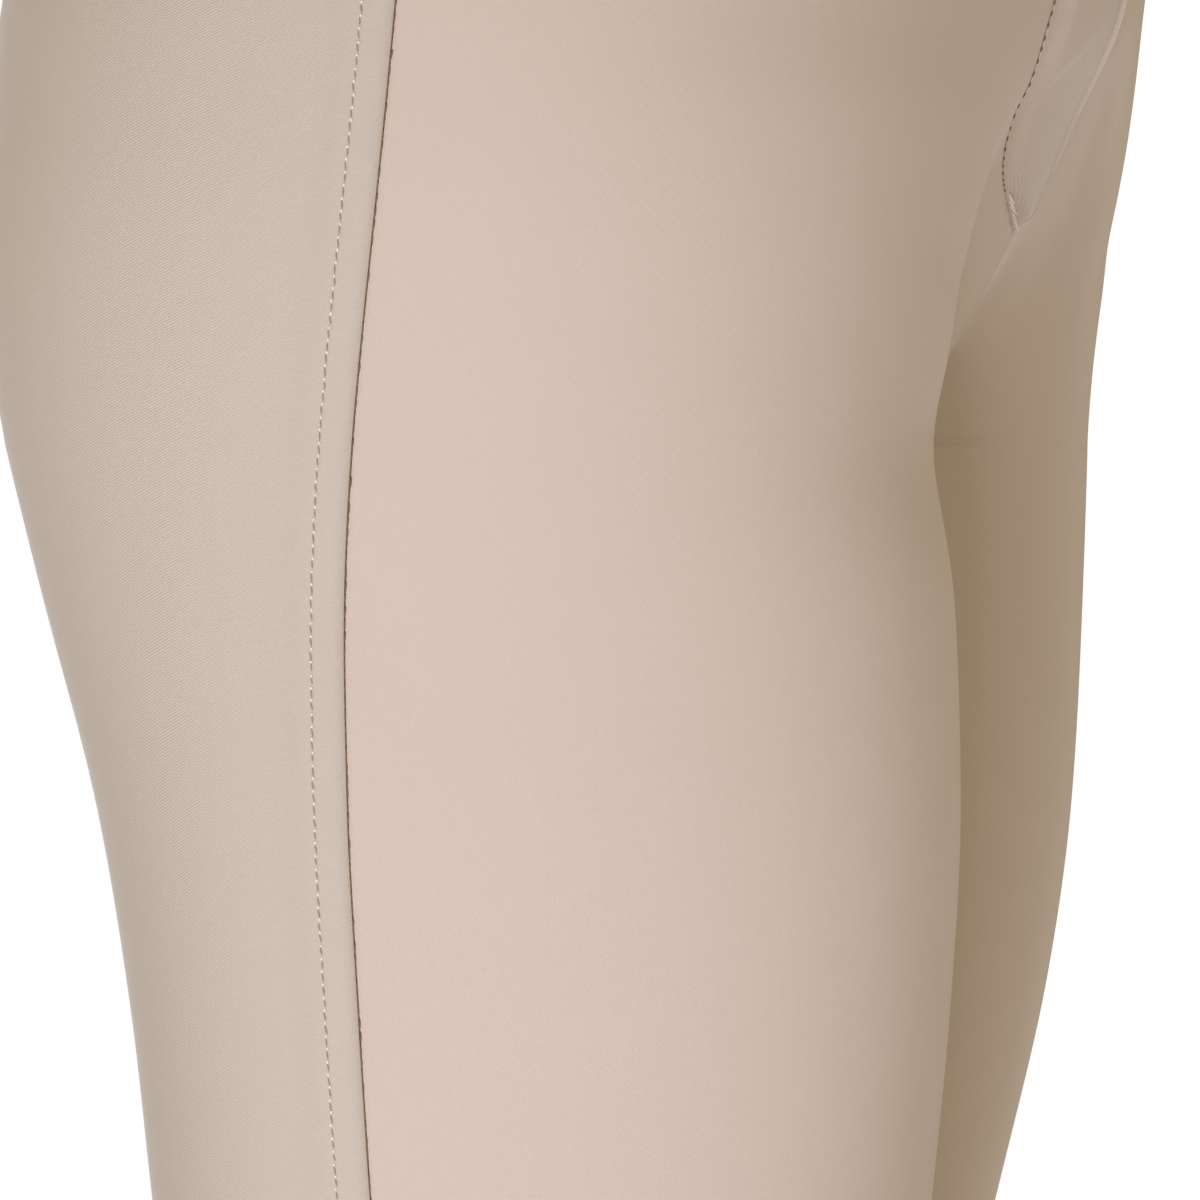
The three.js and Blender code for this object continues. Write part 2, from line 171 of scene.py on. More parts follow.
# The inseam: its distance from the middle plane and its shift along Y.
INSEAM = SizeTable(
    ("below", "inner", "shift"),
    (
        (0, 0.15, 0),
        (17, 2.4, -2),
        (32, 3.4, -4),
        (72, 5, -8),
        (112, 7, -10),
        (152, 9, -11),
        (232, 14.5, -9),
        (322, 20, -7),
        (372, 23, -6),
        (442, 24, -2),
        (502, 29, 0),
        (567, 35, -2),
        (622, 38, -3),
        (662, 38, -3),
    ),
    rooted=True,
)

# The stance: how far each leg is carried back.
STANCE = SizeTable(
    ("below", "right", "left"),
    (
        (-20, 0, 0),
        (0, 0, 0),
        (32, 0, 3.2),
        (72, 0, 6),
        (112, 0, 9),
        (152, 0, 14),
        (232, 0, 26),
        (322, 0, 38),
        (442, 2, 46),
        (567, 4, 56),
        (662, 4, 60),
    ),
)


@dataclass(frozen=True)
class Hollow:
    """A large soft hollow where the stretched cloth draws in."""

    side: Side
    face: Face
    x: float
    z: float
    across: float
    down: float
    depth: float

    def at(self, x: np.ndarray, z: np.ndarray) -> np.ndarray:
        """Gives its depth at places x from the middle plane and z high."""
        spread = ((x - self.x) / self.across) ** 2 + ((z - self.z) / self.down) ** 2
        return self.depth * np.exp(-spread)


# The first and the last are on the cloth only. The second is shallower here than on the
# solid, which draws in 3 mm there. The other three are the solid's own.
HOLLOWS = (
    Hollow(Side.RIGHT, Face.FRONT, 58, -140, 46, 52, 5),
    Hollow(Side.RIGHT, Face.FRONT, 70, -200, 42, 40, 0.8),
    Hollow(Side.RIGHT, Face.FRONT, 84, -240, 46, 15, 1.6),
    Hollow(Side.RIGHT, Face.BACK, 76, -590, 42, 30, 3),
    Hollow(Side.LEFT, Face.BACK, 76, -584, 40, 28, 3.5),
    Hollow(Side.LEFT, Face.FRONT, 14, -226, 12, 24, 3.6),
)


@dataclass(frozen=True)
class Crease:
    """A soft trough, or a ridge where the depth is negative, along a straight line on a panel.

    The line runs from (from_share, from_z) to (to_share, to_z), where share 0 is the panel's
    inner edge and 1 its side seam.
    """

    sides: tuple[Side, ...]
    face: Face
    from_share: float
    from_z: float
    to_share: float
    to_z: float
    width: float
    depth: float

    def at(self, share: np.ndarray, z: np.ndarray, across: np.ndarray) -> np.ndarray:
        """Gives the trough's depth.

        Args:
            share: The share of the way from the inner edge to the side seam.
            z: The height.
            across: The panel's whole width at that height.

        Returns:
            The depth at each place.
        """
        middle = float(np.mean(across))
        start = np.array([self.from_share * middle, self.from_z])
        line = np.array([self.to_share * middle, self.to_z]) - start
        length = float(np.hypot(*line))
        along = line / length
        offset_x = share * middle - start[0]
        offset_z = z - start[1]
        run = (offset_x * along[0] + offset_z * along[1]) / length
        aside = offset_x * -along[1] + offset_z * along[0]
        ends = smooth(run / 0.45 + 0.3) * smooth((1 - run) / 0.45 + 0.3)
        bow = aside - 0.06 * length * np.sin(np.pi * np.clip(run, 0, 1))
        return self.depth * ends * np.exp(-((bow / self.width) ** 2))


# The fly shield's curved edge: its distance from the centre front, by height above its foot.
FLY_FOOT = -194.6
FLY_EDGE = SizeTable(
    ("above", "edge"),
    (
        (0, 0),
        (2.1, 7.5),
        (5.1, 17),
        (7.6, 24),
        (10.1, 29.5),
        (12.6, 33),
        (15.6, 35.5),
        (19.6, 37.3),
        (23.6, 38.5),
        (27.6, 39.2),
        (38.6, 38.8),
        (44.6, 37.5),
        (95, 38.5),
        (175, 40),
    ),
)

BOTH = (Side.RIGHT, Side.LEFT)
CREASES = (
    Crease((Side.RIGHT,), Face.FRONT, 0.05, -232, 0.5, -196, 7.0, 0.35),
    Crease((Side.RIGHT,), Face.FRONT, 0.02, -246, 0.42, -262, 6.0, 0.4),
    Crease((Side.RIGHT,), Face.FRONT, 0.16, -150, 0.2, -215, 9.0, 0.4),
    Crease((Side.LEFT,), Face.FRONT, 0.05, -230, 0.52, -190, 7.5, 0.5),
    Crease((Side.LEFT,), Face.FRONT, 0.03, -246, 0.45, -266, 6.0, 0.5),
    Crease((Side.LEFT,), Face.FRONT, 0.2, -140, 0.24, -205, 10.0, 0.5),
    Crease(BOTH, Face.BACK, 0.04, -226, 0.55, -238, 9.0, 1.3),
    Crease(BOTH, Face.BACK, 0.06, -243, 0.42, -270, 6.5, 0.8),
    Crease(BOTH, Face.BACK, 0.03, -214, 0.34, -206, 6.0, 0.5),
    Crease((Side.RIGHT,), Face.BACK, 0.12, -566, 0.8, -580, 7.0, 1.1),
    Crease((Side.RIGHT,), Face.BACK, 0.28, -592, 0.9, -584, 5.5, 0.9),
    Crease((Side.RIGHT,), Face.BACK, 0.1, -610, 0.72, -620, 7.5, 1.0),
    Crease((Side.LEFT,), Face.BACK, 0.18, -560, 0.86, -572, 6.5, 1.1),
    Crease((Side.LEFT,), Face.BACK, 0.1, -584, 0.7, -592, 6.0, 1.0),
    Crease((Side.LEFT,), Face.BACK, 0.26, -608, 0.92, -602, 7.5, 0.9),
    Crease(BOTH, Face.FRONT, 0.2, -545, 0.75, -556, 9.0, 0.6),
    Crease(BOTH, Face.FRONT, 0.3, -630, 0.85, -622, 8.0, 0.6),
    Crease((Side.RIGHT,), Face.FRONT, 0.15, -770, 0.8, -782, 6.0, 0.7),
    Crease((Side.LEFT,), Face.FRONT, 0.25, -776, 0.9, -766, 6.0, 0.7),
    Crease((Side.RIGHT,), Face.BACK, 0.2, -778, 0.85, -768, 6.5, 0.8),
    Crease((Side.LEFT,), Face.BACK, 0.1, -766, 0.75, -780, 6.0, 0.8),
)


def smooth(t: np.ndarray) -> np.ndarray:
    """Gives a gentle step from 0 at t = 0 to 1 at t = 1."""
    clamped = np.clip(t, 0, 1)
    return clamped * clamped * (3 - 2 * clamped)


def power_of(base: np.ndarray, exponent: float) -> np.ndarray:
    """Raises to a power, and gives 0 for what isn't above 0."""
    return np.where(base > 0, np.maximum(base, 1e-12) ** exponent, 0.0)


class Section:
    """Level sections of the worn garment's outer face, front or back."""

    @staticmethod
    def sizes(z: np.ndarray) -> dict[str, np.ndarray]:
        """Gives all sizes of the sections.

        Args:
            z: The heights.

        Returns:
            Each size by its name, one value for each height.
        """
        above = np.maximum(z - CROTCH_Z, 0)
        below = np.maximum(CROTCH_Z - z, 0)
        found = {name: BODY.read(name, z) for name in BODY.columns[1:]}
        leg_middle = CROTCH_Y + INSEAM.read("shift", below)
        found["inseam_front"] = leg_middle - SEAM_GAP / 2
        found["inseam_back"] = leg_middle + SEAM_GAP / 2
        found["edge_front"] = found["inseam_front"] - RISE.read("front", above)
        found["edge_back"] = found["inseam_back"] + RISE.read("back", above)
        found["inner"] = np.maximum(SEAM_GAP / 2, INSEAM.read("inner", below))
        return found

    @staticmethod
    def held_depth(leg: np.ndarray, rise: np.ndarray, full: np.ndarray) -> np.ndarray:
        """Holds the leg's own round depth behind the crest to the depth of the rise seam.

        Args:
            leg: The leg's own depth.
            rise: The depth of the rise seam.
            full: The whole depth of the leg.

        Returns:
            The held depth.
        """
        least = 1e-9
        held = np.maximum(leg, least) ** -CROTCH_SOFTNESS + np.maximum(rise, least) ** -CROTCH_SOFTNESS
        held = held - full**-CROTCH_SOFTNESS
        depth = np.maximum(held, least) ** (-1 / CROTCH_SOFTNESS)
        return np.where((leg <= 0) | (rise <= 0), 0.0, depth)

    @classmethod
    def outlines(cls, z: np.ndarray, face: Face) -> np.ndarray:
        """Gives the outline of the front or back of one half, from inner edge to side seam.

        Args:
            z: The heights.
            face: Front or back.

        Returns:
            An array of heights by points by (x, y).
        """
        sizes = {name: value[:, None] for name, value in cls.sizes(z).items()}
        reach = -sizes["front"] if face is Face.FRONT else sizes["back"]
        inseam = sizes[f"inseam_{face.value}"]
        edge = sizes[f"edge_{face.value}"]
        crest = sizes["inner"] + (sizes["outer"] - sizes["inner"]) * sizes[f"{face.value}_at"]
        full = np.abs(inseam - reach)
        rise = np.minimum(np.abs(edge - reach), full)
        angle = np.linspace(0, np.pi / 2, ARC_STEPS + 1)[None, :]
        sine = power_of(np.sin(angle), 2 / ROUNDNESS)
        cosine = power_of(np.cos(angle), 2 / ROUNDNESS)
        depth = cls.held_depth(full * (1 - sine), rise, full)
        inner_x = sizes["inner"] + (crest - sizes["inner"]) * (1 - cosine)
        inner_y = reach + np.sign(inseam - reach) * depth
        outer_x = crest + (sizes["outer"] - crest) * sine[:, 1:]
        outer_y = sizes["seam"] + (reach - sizes["seam"]) * cosine[:, 1:]
        return np.stack([np.hstack([inner_x, outer_x]), np.hstack([inner_y, outer_y])], axis=2)


@dataclass
class Quarter:
    """One quarter of the garment as a surface, by height and by distance from its inner edge."""

    side: Side
    face: Face
    step_up: float = 0.6
    step_along: float = 1.0

    def lengths(self, z: np.ndarray) -> tuple[np.ndarray, np.ndarray, np.ndarray]:
        """Measures the outlines at some heights.

        Args:
            z: The heights.

        Returns:
            The outlines, the running length along each, and each height's outline number.
        """
        heights, number = np.unique(np.atleast_1d(np.asarray(z, dtype=float)), return_inverse=True)
        outline = Section.outlines(heights, self.face)
        steps = np.linalg.norm(np.diff(outline, axis=1), axis=2)
        return outline, np.hstack([np.zeros((len(heights), 1)), np.cumsum(steps, axis=1)]), number

    def width(self, z: np.ndarray) -> np.ndarray:
        """Gives the whole distance from the inner edge to the side seam at each height."""
        _, lengths, number = self.lengths(z)
        return lengths[number, -1]

    def smooth_place(self, z: np.ndarray, distance: np.ndarray) -> np.ndarray:
        """Gives places on the surface before hollows and creases.

        Args:
            z: The heights.
            distance: The distances from the inner edge.

        Returns:
            An array of places.
        """
        outline, lengths, number = self.lengths(z)
        steps = lengths.shape[1]
        apart = 1e4
        in_line = (lengths + apart * np.arange(len(lengths))[:, None]).ravel()
        i = np.searchsorted(in_line, distance + apart * number) - 1 - steps * number
        i = np.clip(i, 0, steps - 2)
        before = lengths[number, i]
        t = (distance - before) / np.maximum(lengths[number, i + 1] - before, 1e-9)
        low = outline[number, i]
        high = outline[number, i + 1]
        flat = low + (high - low) * np.clip(t, 0, 1)[:, None]
        stance = STANCE.read(self.side.word, CROTCH_Z - z)
        return np.stack([flat[:, 0] * self.side.value, flat[:, 1] + stance, z], axis=1)

    def outward(self, z: np.ndarray, distance: np.ndarray) -> np.ndarray:
        """Gives the direction straight out of the cloth.

        Args:
            z: The heights.
            distance: The distances from the inner edge.

        Returns:
            An array of unit directions.
        """
        width = self.width(z)
        low = np.clip(distance - self.step_along, 0, width)
        high = np.clip(distance + self.step_along, 0, width)
        along = self.smooth_place(z, high) - self.smooth_place(z, low)
        share = distance / width
        upper = share * self.width(z + self.step_up)
        lower = share * self.width(z - self.step_up)
        up = self.smooth_place(z + self.step_up, upper) - self.smooth_place(z - self.step_up, lower)
        normal = np.cross(along, up)
        normal /= np.maximum(np.linalg.norm(normal, axis=1, keepdims=True), 1e-12)
        faces = self.side.value if self.face is Face.FRONT else -self.side.value
        return normal * faces

    def depth(self, z: np.ndarray, distance: np.ndarray) -> np.ndarray:
        """Gives how far the hollows and creases draw the cloth in.

        Args:
            z: The heights.
            distance: The distances from the inner edge.

        Returns:
            One depth for each place.
        """
        x = np.abs(self.smooth_place(z, distance)[:, 0])
        drawn = np.zeros(len(z))
        for hollow in HOLLOWS:
            if hollow.side is self.side and hollow.face is self.face:
                drawn += hollow.at(x, z)
        width = self.width(z)
        for crease in CREASES:
            if self.side in crease.sides and crease.face is self.face:
                middle_z = np.array([(crease.from_z + crease.to_z) / 2])
                drawn += crease.at(distance / width, z, self.width(middle_z))
        return drawn

    def cloth(self, z: np.ndarray, distance: np.ndarray, height: np.ndarray) -> np.ndarray:
        """Gives places of the cloth at heights above its outer face.

        Args:
            z: The heights above the ground frame.
            distance: The distances from the inner edge.
            height: How far each place stands above the cloth's face.

        Returns:
            An array of places.
        """
        rise = height - self.depth(z, distance)
        return self.smooth_place(z, distance) + self.outward(z, distance) * rise[:, None]


class ClothMesh:
    """Makes a thin closed cloth wall from an outer and an inner grid of places."""

    @staticmethod
    def grid(name: str, rows: int, columns: int) -> bpy.types.Object:
        """Adds a flat grid with its own name.

        Args:
            name: The piece's name.
            rows: The number of rows of points.
            columns: The number of columns of points.

        Returns:
            The new object.
        """
        bpy.ops.object.select_all(action="DESELECT")
        bpy.ops.mesh.primitive_grid_add(x_subdivisions=columns - 1, y_subdivisions=rows - 1, size=1.0)
        piece = bpy.context.active_object
        piece.name = name
        piece.data.name = name
        return piece

    @classmethod
    def wall(
        cls,
        name: str,
        outer: np.ndarray,
        inner: np.ndarray,
        pattern: np.ndarray,
        closed: bool = False,
    ) -> bpy.types.Object:
        """Builds the wall.

        Args:
            name: The piece's name.
            outer: Rows by columns by (x, y, z) in millimetres, the outer face.
            inner: The inner face in the same order.
            pattern: Rows by columns by (u, v) in millimetres on the cut cloth.
            closed: Whether the last column meets the first.

        Returns:
            The finished object, at the origin.
        """
        rows, columns = outer.shape[:2]
        piece = cls.grid(name, rows, columns)
        mesh = piece.data
        mesh.vertices.foreach_set("co", (outer.reshape(-1, 3) * MM).ravel())
        cls.lay_pattern(mesh, pattern.reshape(-1, 2) * MM)
        cls.face_out(piece, outer, inner)
        wall = piece.modifiers.new("wall", "SOLIDIFY")
        wall.thickness = CLOTH_WALL * MM
        wall.offset = -1.0
        wall.use_rim = True
        bpy.ops.object.modifier_apply(modifier=wall.name)
        both = np.concatenate([outer.reshape(-1, 3), inner.reshape(-1, 3)]) * MM
        mesh.vertices.foreach_set("co", both.ravel())
        if closed:
            cls.close_round(piece)
        mesh.update()
        bpy.ops.object.shade_smooth_by_angle(angle=np.radians(50.0))
        return piece

    @staticmethod
    def lay_pattern(mesh: bpy.types.Mesh, pattern: np.ndarray) -> None:
        """Gives each corner its place on the cut cloth.

        Args:
            mesh: The mesh with one UV map.
            pattern: One (u, v) for each point, in metres.
        """
        corners = np.empty(len(mesh.loops), dtype=np.int64)
        mesh.loops.foreach_get("vertex_index", corners)
        layer = mesh.uv_layers.active or mesh.uv_layers.new(name="cut")
        layer.name = "cut"
        layer.data.foreach_set("uv", pattern[corners].ravel())

    @staticmethod
    def face_out(piece: bpy.types.Object, outer: np.ndarray, inner: np.ndarray) -> None:
        """Turns all faces so that they point away from the inner grid.

        Args:
            piece: The grid, active and selected.
            outer: The outer grid.
            inner: The inner grid.
        """
        row, column = outer.shape[0] // 2, outer.shape[1] // 2
        along = outer[row, column + 1] - outer[row, column]
        up = outer[row + 1, column] - outer[row, column]
        away = outer[row, column] - inner[row, column]
        if float(np.dot(np.cross(along, up), away)) < 0:
            bpy.ops.object.mode_set(mode="EDIT")
            bpy.ops.mesh.select_all(action="SELECT")
            bpy.ops.mesh.flip_normals()
            bpy.ops.object.mode_set(mode="OBJECT")

    @staticmethod
    def close_round(piece: bpy.types.Object) -> None:
        """Joins the first and last columns, whose places are the same.

        Args:
            piece: The wall, active and selected.
        """
        mesh = piece.data
        bpy.ops.object.mode_set(mode="EDIT")
        bpy.ops.mesh.select_all(action="SELECT")
        bpy.ops.mesh.remove_doubles(threshold=1e-6)
        bpy.ops.mesh.select_all(action="DESELECT")
        bpy.ops.mesh.select_interior_faces()
        bpy.ops.mesh.delete(type="ONLY_FACE")
        bpy.ops.object.mode_set(mode="OBJECT")
        mesh.update()


def finish_piece(piece: bpy.types.Object, finish: bpy.types.Material) -> None:
    """Dresses a piece and ties it to the garment.

    Args:
        piece: The object.
        finish: Its material.
    """
    piece.data.materials.clear()
    piece.data.materials.append(finish)
    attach(piece, "root")
    LOG.info("%s: %d faces", piece.name, len(piece.data.polygons))


@dataclass
class NodeMaker:
    """Adds nodes and links to one node tree."""

    tree: bpy.types.NodeTree
    made: int = 0

    def add(self, kind: str, **settings: object) -> bpy.types.Node:
        """Adds a node.

        Args:
            kind: The node's type name.
            settings: Its properties.

        Returns:
            The node.
        """
        node = self.tree.nodes.new(kind)
        node.location = (200 * (self.made % 8), -180 * (self.made // 8))
        self.made += 1
        for name, value in settings.items():
            setattr(node, name, value)
        return node

    def feed(self, socket: bpy.types.NodeSocket, value: object) -> None:
        """Sets a socket to a value, or links it to another node's output."""
        if isinstance(value, bpy.types.NodeSocket):
            self.tree.links.new(value, socket)
        else:
            socket.default_value = value

    def math(self, operation: str, *values: object, clamp: bool = False) -> bpy.types.NodeSocket:
        """Adds a Math node.

        Args:
            operation: What it does.
            values: Its inputs, numbers or sockets.
            clamp: Whether the result stays within 0 to 1.

        Returns:
            Its output.
        """
        node = self.add("ShaderNodeMath", operation=operation, use_clamp=clamp)
        for socket, value in zip(node.inputs, values):
            self.feed(socket, value)
        return node.outputs[0]

    def mix(self, factor: object, first: object, second: object) -> bpy.types.NodeSocket:
        """Mixes two colours.

        Args:
            factor: The share of the second colour.
            first: The first colour or socket.
            second: The second colour or socket.

        Returns:
            The mixed colour.
        """
        node = self.add("ShaderNodeMix", data_type="RGBA")
        self.feed(node.inputs["Factor"], factor)
        self.feed(node.inputs[6], first)
        self.feed(node.inputs[7], second)
        return node.outputs[2]

    def noise(self, vector: bpy.types.NodeSocket, scale: float, detail: float = 2.0) -> bpy.types.NodeSocket:
        """Adds soft noise.

        Args:
            vector: Where it is read.
            scale: Its fineness.
            detail: Its number of finer layers.

        Returns:
            Its value from 0 to 1.
        """
        node = self.add("ShaderNodeTexNoise")
        self.feed(node.inputs["Vector"], vector)
        node.inputs["Scale"].default_value = scale
        node.inputs["Detail"].default_value = detail
        return node.outputs["Fac"]


def rgba(color: Color) -> tuple[float, float, float, float]:
    """Gives a colour with full alpha."""
    return (color[0], color[1], color[2], 1.0)


class TwillGroup:
    """The shared weave: slanted ribs crossed by fine threads, as a shader node group."""

    NAME = "twill weave"

    @classmethod
    def tree(cls) -> bpy.types.NodeTree:
        """Gives the node group, and builds it the first time.

        Returns:
            The group's node tree.
        """
        found = bpy.data.node_groups.get(cls.NAME)
        if found:
            return found
        group = bpy.data.node_groups.new(cls.NAME, "ShaderNodeTree")
        sockets = (
            ("Vector", "NodeSocketVector", "INPUT", None),
            ("Rib pitch", "NodeSocketFloat", "INPUT", 0.6),
            ("Rib slope", "NodeSocketFloat", "INPUT", 0.4),
            ("Thread pitch", "NodeSocketFloat", "INPUT", 0.45),
            ("Thread slant", "NodeSocketFloat", "INPUT", 0.55),
            ("Cross share", "NodeSocketFloat", "INPUT", 0.3),
            ("Unevenness", "NodeSocketFloat", "INPUT", 0.3),
            ("Ribs", "NodeSocketFloat", "OUTPUT", None),
            ("Shade", "NodeSocketFloat", "OUTPUT", None),
        )
        for name, kind, way, value in sockets:
            socket = group.interface.new_socket(name=name, in_out=way, socket_type=kind)
            if value is not None:
                socket.default_value = value
        make = NodeMaker(group)
        given = make.add("NodeGroupInput")
        result = make.add("NodeGroupOutput")
        place = make.add("ShaderNodeSeparateXYZ")
        make.feed(place.inputs[0], given.outputs["Vector"])
        across = make.math("MULTIPLY", place.outputs["X"], 1000.0)
        up = make.math("MULTIPLY", place.outputs["Y"], 1000.0)
        wander = make.noise(given.outputs["Vector"], 900.0, 1.0)
        wander = make.math("MULTIPLY", make.math("SUBTRACT", wander, 0.5), given.outputs["Unevenness"])
        slanted = make.math("MULTIPLY", across, given.outputs["Rib slope"])
        rib_place = make.math("ADD", make.math("SUBTRACT", up, slanted), wander)
        rib_turn = make.math("MULTIPLY", make.math("DIVIDE", rib_place, given.outputs["Rib pitch"]), 6.2832)
        ribs = make.math("MULTIPLY_ADD", make.math("SINE", rib_turn), 0.5, 0.5)
        thread_place = make.math("ADD", across, make.math("MULTIPLY", up, given.outputs["Thread slant"]))
        thread_count = make.math("DIVIDE", thread_place, given.outputs["Thread pitch"])
        thread_turn = make.math("MULTIPLY", thread_count, 6.2832)
        threads = make.math("MULTIPLY_ADD", make.math("SINE", thread_turn), 0.5, 0.5)
        node = make.add("ShaderNodeMix", data_type="FLOAT")
        make.feed(node.inputs[0], given.outputs["Cross share"])
        make.feed(node.inputs[2], ribs)
        make.feed(node.inputs[3], make.math("MULTIPLY", ribs, threads))
        make.feed(result.inputs["Ribs"], node.outputs[0])
        cloudy = make.noise(given.outputs["Vector"], 55.0, 3.0)
        fine = make.noise(given.outputs["Vector"], 1500.0, 2.0)
        shade = make.math("ADD", make.math("MULTIPLY", cloudy, 0.6), make.math("MULTIPLY", fine, 0.4))
        make.feed(result.inputs["Shade"], shade)
        return group


@dataclass(frozen=True)
class TwillFinish:
    """A smooth stretch twill with a soft brushed face, for one kind of piece."""

    name: str
    cloth: Color
    valley: Color
    contrast: float
    relief: float
    rib_pitch: float = 0.6
    rib_slope: float = 0.4
    thread_pitch: float = 0.45
    thread_slant: float = 0.55
    cross_share: float = 0.3
    unevenness: float = 0.3
    cloud: float = 0.03
    plain_by_seam: float = 0.0
    sheen: float = 0.35
    roughness: float = 0.86

    def material(self) -> bpy.types.Material:
        """Builds the material, or gives it when it is there.

        Returns:
            The material.
        """
        found = bpy.data.materials.get(self.name)
        if found:
            return found
        made = bpy.data.materials.new(self.name)
        made.use_nodes = True
        make = NodeMaker(made.node_tree)
        surface = made.node_tree.nodes["Principled BSDF"]
        pattern = make.add("ShaderNodeUVMap", uv_map="cut")
        weave = make.add("ShaderNodeGroup", node_tree=TwillGroup.tree())
        make.feed(weave.inputs["Vector"], pattern.outputs["UV"])
        weave.inputs["Rib pitch"].default_value = self.rib_pitch
        weave.inputs["Rib slope"].default_value = self.rib_slope
        weave.inputs["Thread pitch"].default_value = self.thread_pitch
        weave.inputs["Thread slant"].default_value = self.thread_slant
        weave.inputs["Cross share"].default_value = self.cross_share
        weave.inputs["Unevenness"].default_value = self.unevenness
        depth = make.math("MULTIPLY", make.math("SUBTRACT", 1.0, weave.outputs["Ribs"]), self.contrast)
        if self.plain_by_seam:
            depth = self.fade(make, pattern.outputs["UV"], depth)
        woven = make.mix(depth, rgba(self.cloth), rgba(self.valley))
        cloud = make.math("MULTIPLY", make.math("SUBTRACT", weave.outputs["Shade"], 0.5), self.cloud * 4)
        clouded = make.mix(make.math("ADD", cloud, 0.15, clamp=True), woven, rgba(self.valley))
        make.feed(surface.inputs["Base Color"], clouded)
        rough = make.math("MULTIPLY_ADD", weave.outputs["Shade"], 0.08, self.roughness - 0.04)
        make.feed(surface.inputs["Roughness"], rough)
        surface.inputs["Specular IOR Level"].default_value = 0.25
        surface.inputs["Sheen Weight"].default_value = self.sheen
        surface.inputs["Sheen Roughness"].default_value = 0.35
        bump = make.add("ShaderNodeBump")
        bump.inputs["Strength"].default_value = 1.0
        bump.inputs["Distance"].default_value = self.relief * MM
        make.feed(bump.inputs["Height"], weave.outputs["Ribs"])
        make.feed(surface.inputs["Normal"], bump.outputs["Normal"])
        return made

    def fade(self, make: NodeMaker, pattern: bpy.types.NodeSocket, depth: object) -> bpy.types.NodeSocket:
        """Fades the weave's colour where the cloth is pressed flat beside the side seam.

        Args:
            make: The maker of the material's nodes.
            pattern: The place on the cut cloth, which is 0 across at the side seam.
            depth: The share of the valley colour.

        Returns:
            The faded share.
        """
        place = make.add("ShaderNodeSeparateXYZ")
        make.feed(place.inputs[0], pattern)
        across = make.math("MULTIPLY", make.math("ABSOLUTE", place.outputs["X"]), 1000.0 / self.plain_by_seam)
        seen = make.math("SUBTRACT", across, 0.15, clamp=True)
        woven = make.math("MULTIPLY", depth, seen)
        plain = make.math("MULTIPLY", make.math("SUBTRACT", 1.0, seen), self.contrast * 0.575)
        return make.math("ADD", woven, plain)


@dataclass(frozen=True)
class ThreadFinish:
    """Sewing thread, or a dark colour that is partly painted shade, for the shadow in the depth between two
    stitches of an opened seam.
    """

    name: str
    color: Color
    dark: Color
    roughness: float = 0.6

    def material(self) -> bpy.types.Material:
        """Builds the material, or gives it when it is there.

        Returns:
            The material.
        """
        found = bpy.data.materials.get(self.name)
        if found:
            return found
        made = bpy.data.materials.new(self.name)
        made.use_nodes = True
        make = NodeMaker(made.node_tree)
        surface = made.node_tree.nodes["Principled BSDF"]
        place = make.add("ShaderNodeTexCoord")
        twist = make.noise(place.outputs["Object"], 2600.0, 2.0)
        make.feed(surface.inputs["Base Color"], make.mix(twist, rgba(self.color), rgba(self.dark)))
        make.feed(surface.inputs["Roughness"], make.math("MULTIPLY_ADD", twist, 0.2, self.roughness - 0.1))
        surface.inputs["Specular IOR Level"].default_value = 0.1
        bump = make.add("ShaderNodeBump")
        bump.inputs["Distance"].default_value = 0.05 * MM
        make.feed(bump.inputs["Height"], twist)
        make.feed(surface.inputs["Normal"], bump.outputs["Normal"])
        return made


BACK_TWILL = TwillFinish(
    "back twill",
    (0.715, 0.62, 0.533),
    (0.44, 0.365, 0.297),
    contrast=0.75,
    relief=0.03,
    plain_by_seam=34.0,
    rib_pitch=0.6,
    rib_slope=0.42,
)
FRONT_TWILL = TwillFinish(
    "front twill",
    (0.707, 0.585, 0.493),
    (0.50, 0.41, 0.335),
    contrast=0.45,
    relief=0.02,
    rib_pitch=1.5,
    rib_slope=2.6,
    cross_share=0.6,
)
FLY_TWILL = TwillFinish(
    "fly twill",
    (0.76, 0.645, 0.56),
    (0.44, 0.36, 0.295),
    contrast=0.5,
    relief=0.04,
    rib_pitch=0.62,
    rib_slope=0.48,
    thread_pitch=1.3,
    thread_slant=2.1,
    cross_share=0.85,
)
BAND_TWILL = TwillFinish(
    "band twill", (0.62, 0.53, 0.45), (0.42, 0.345, 0.28), contrast=0.3, relief=0.05, rib_slope=0.5
)
CUFF_KNIT = TwillFinish(
    "cuff knit",
    (0.62, 0.53, 0.45),
    (0.36, 0.295, 0.235),
    contrast=0.5,
    relief=0.12,
    rib_pitch=72.0,
    rib_slope=60.0,
    thread_pitch=0.7,
    cross_share=0.5,
)
LIGHT_THREAD = ThreadFinish("light thread", (0.95, 0.9, 0.8), (0.78, 0.7, 0.59))
# A darker copy of the light thread: painted shade for the topstitch's threads between its light knots.
SHADE_THREAD = ThreadFinish("shaded thread", (0.42, 0.33, 0.24), (0.29, 0.215, 0.15))
# Dark sewing thread for the fly's curve; on the side seam's dashes this dark colour is partly painted shade
# of the seam's gap.
DARK_THREAD_AND_SEAM_SHADE = ThreadFinish("dark thread", (0.28, 0.17, 0.085), (0.17, 0.1, 0.045))


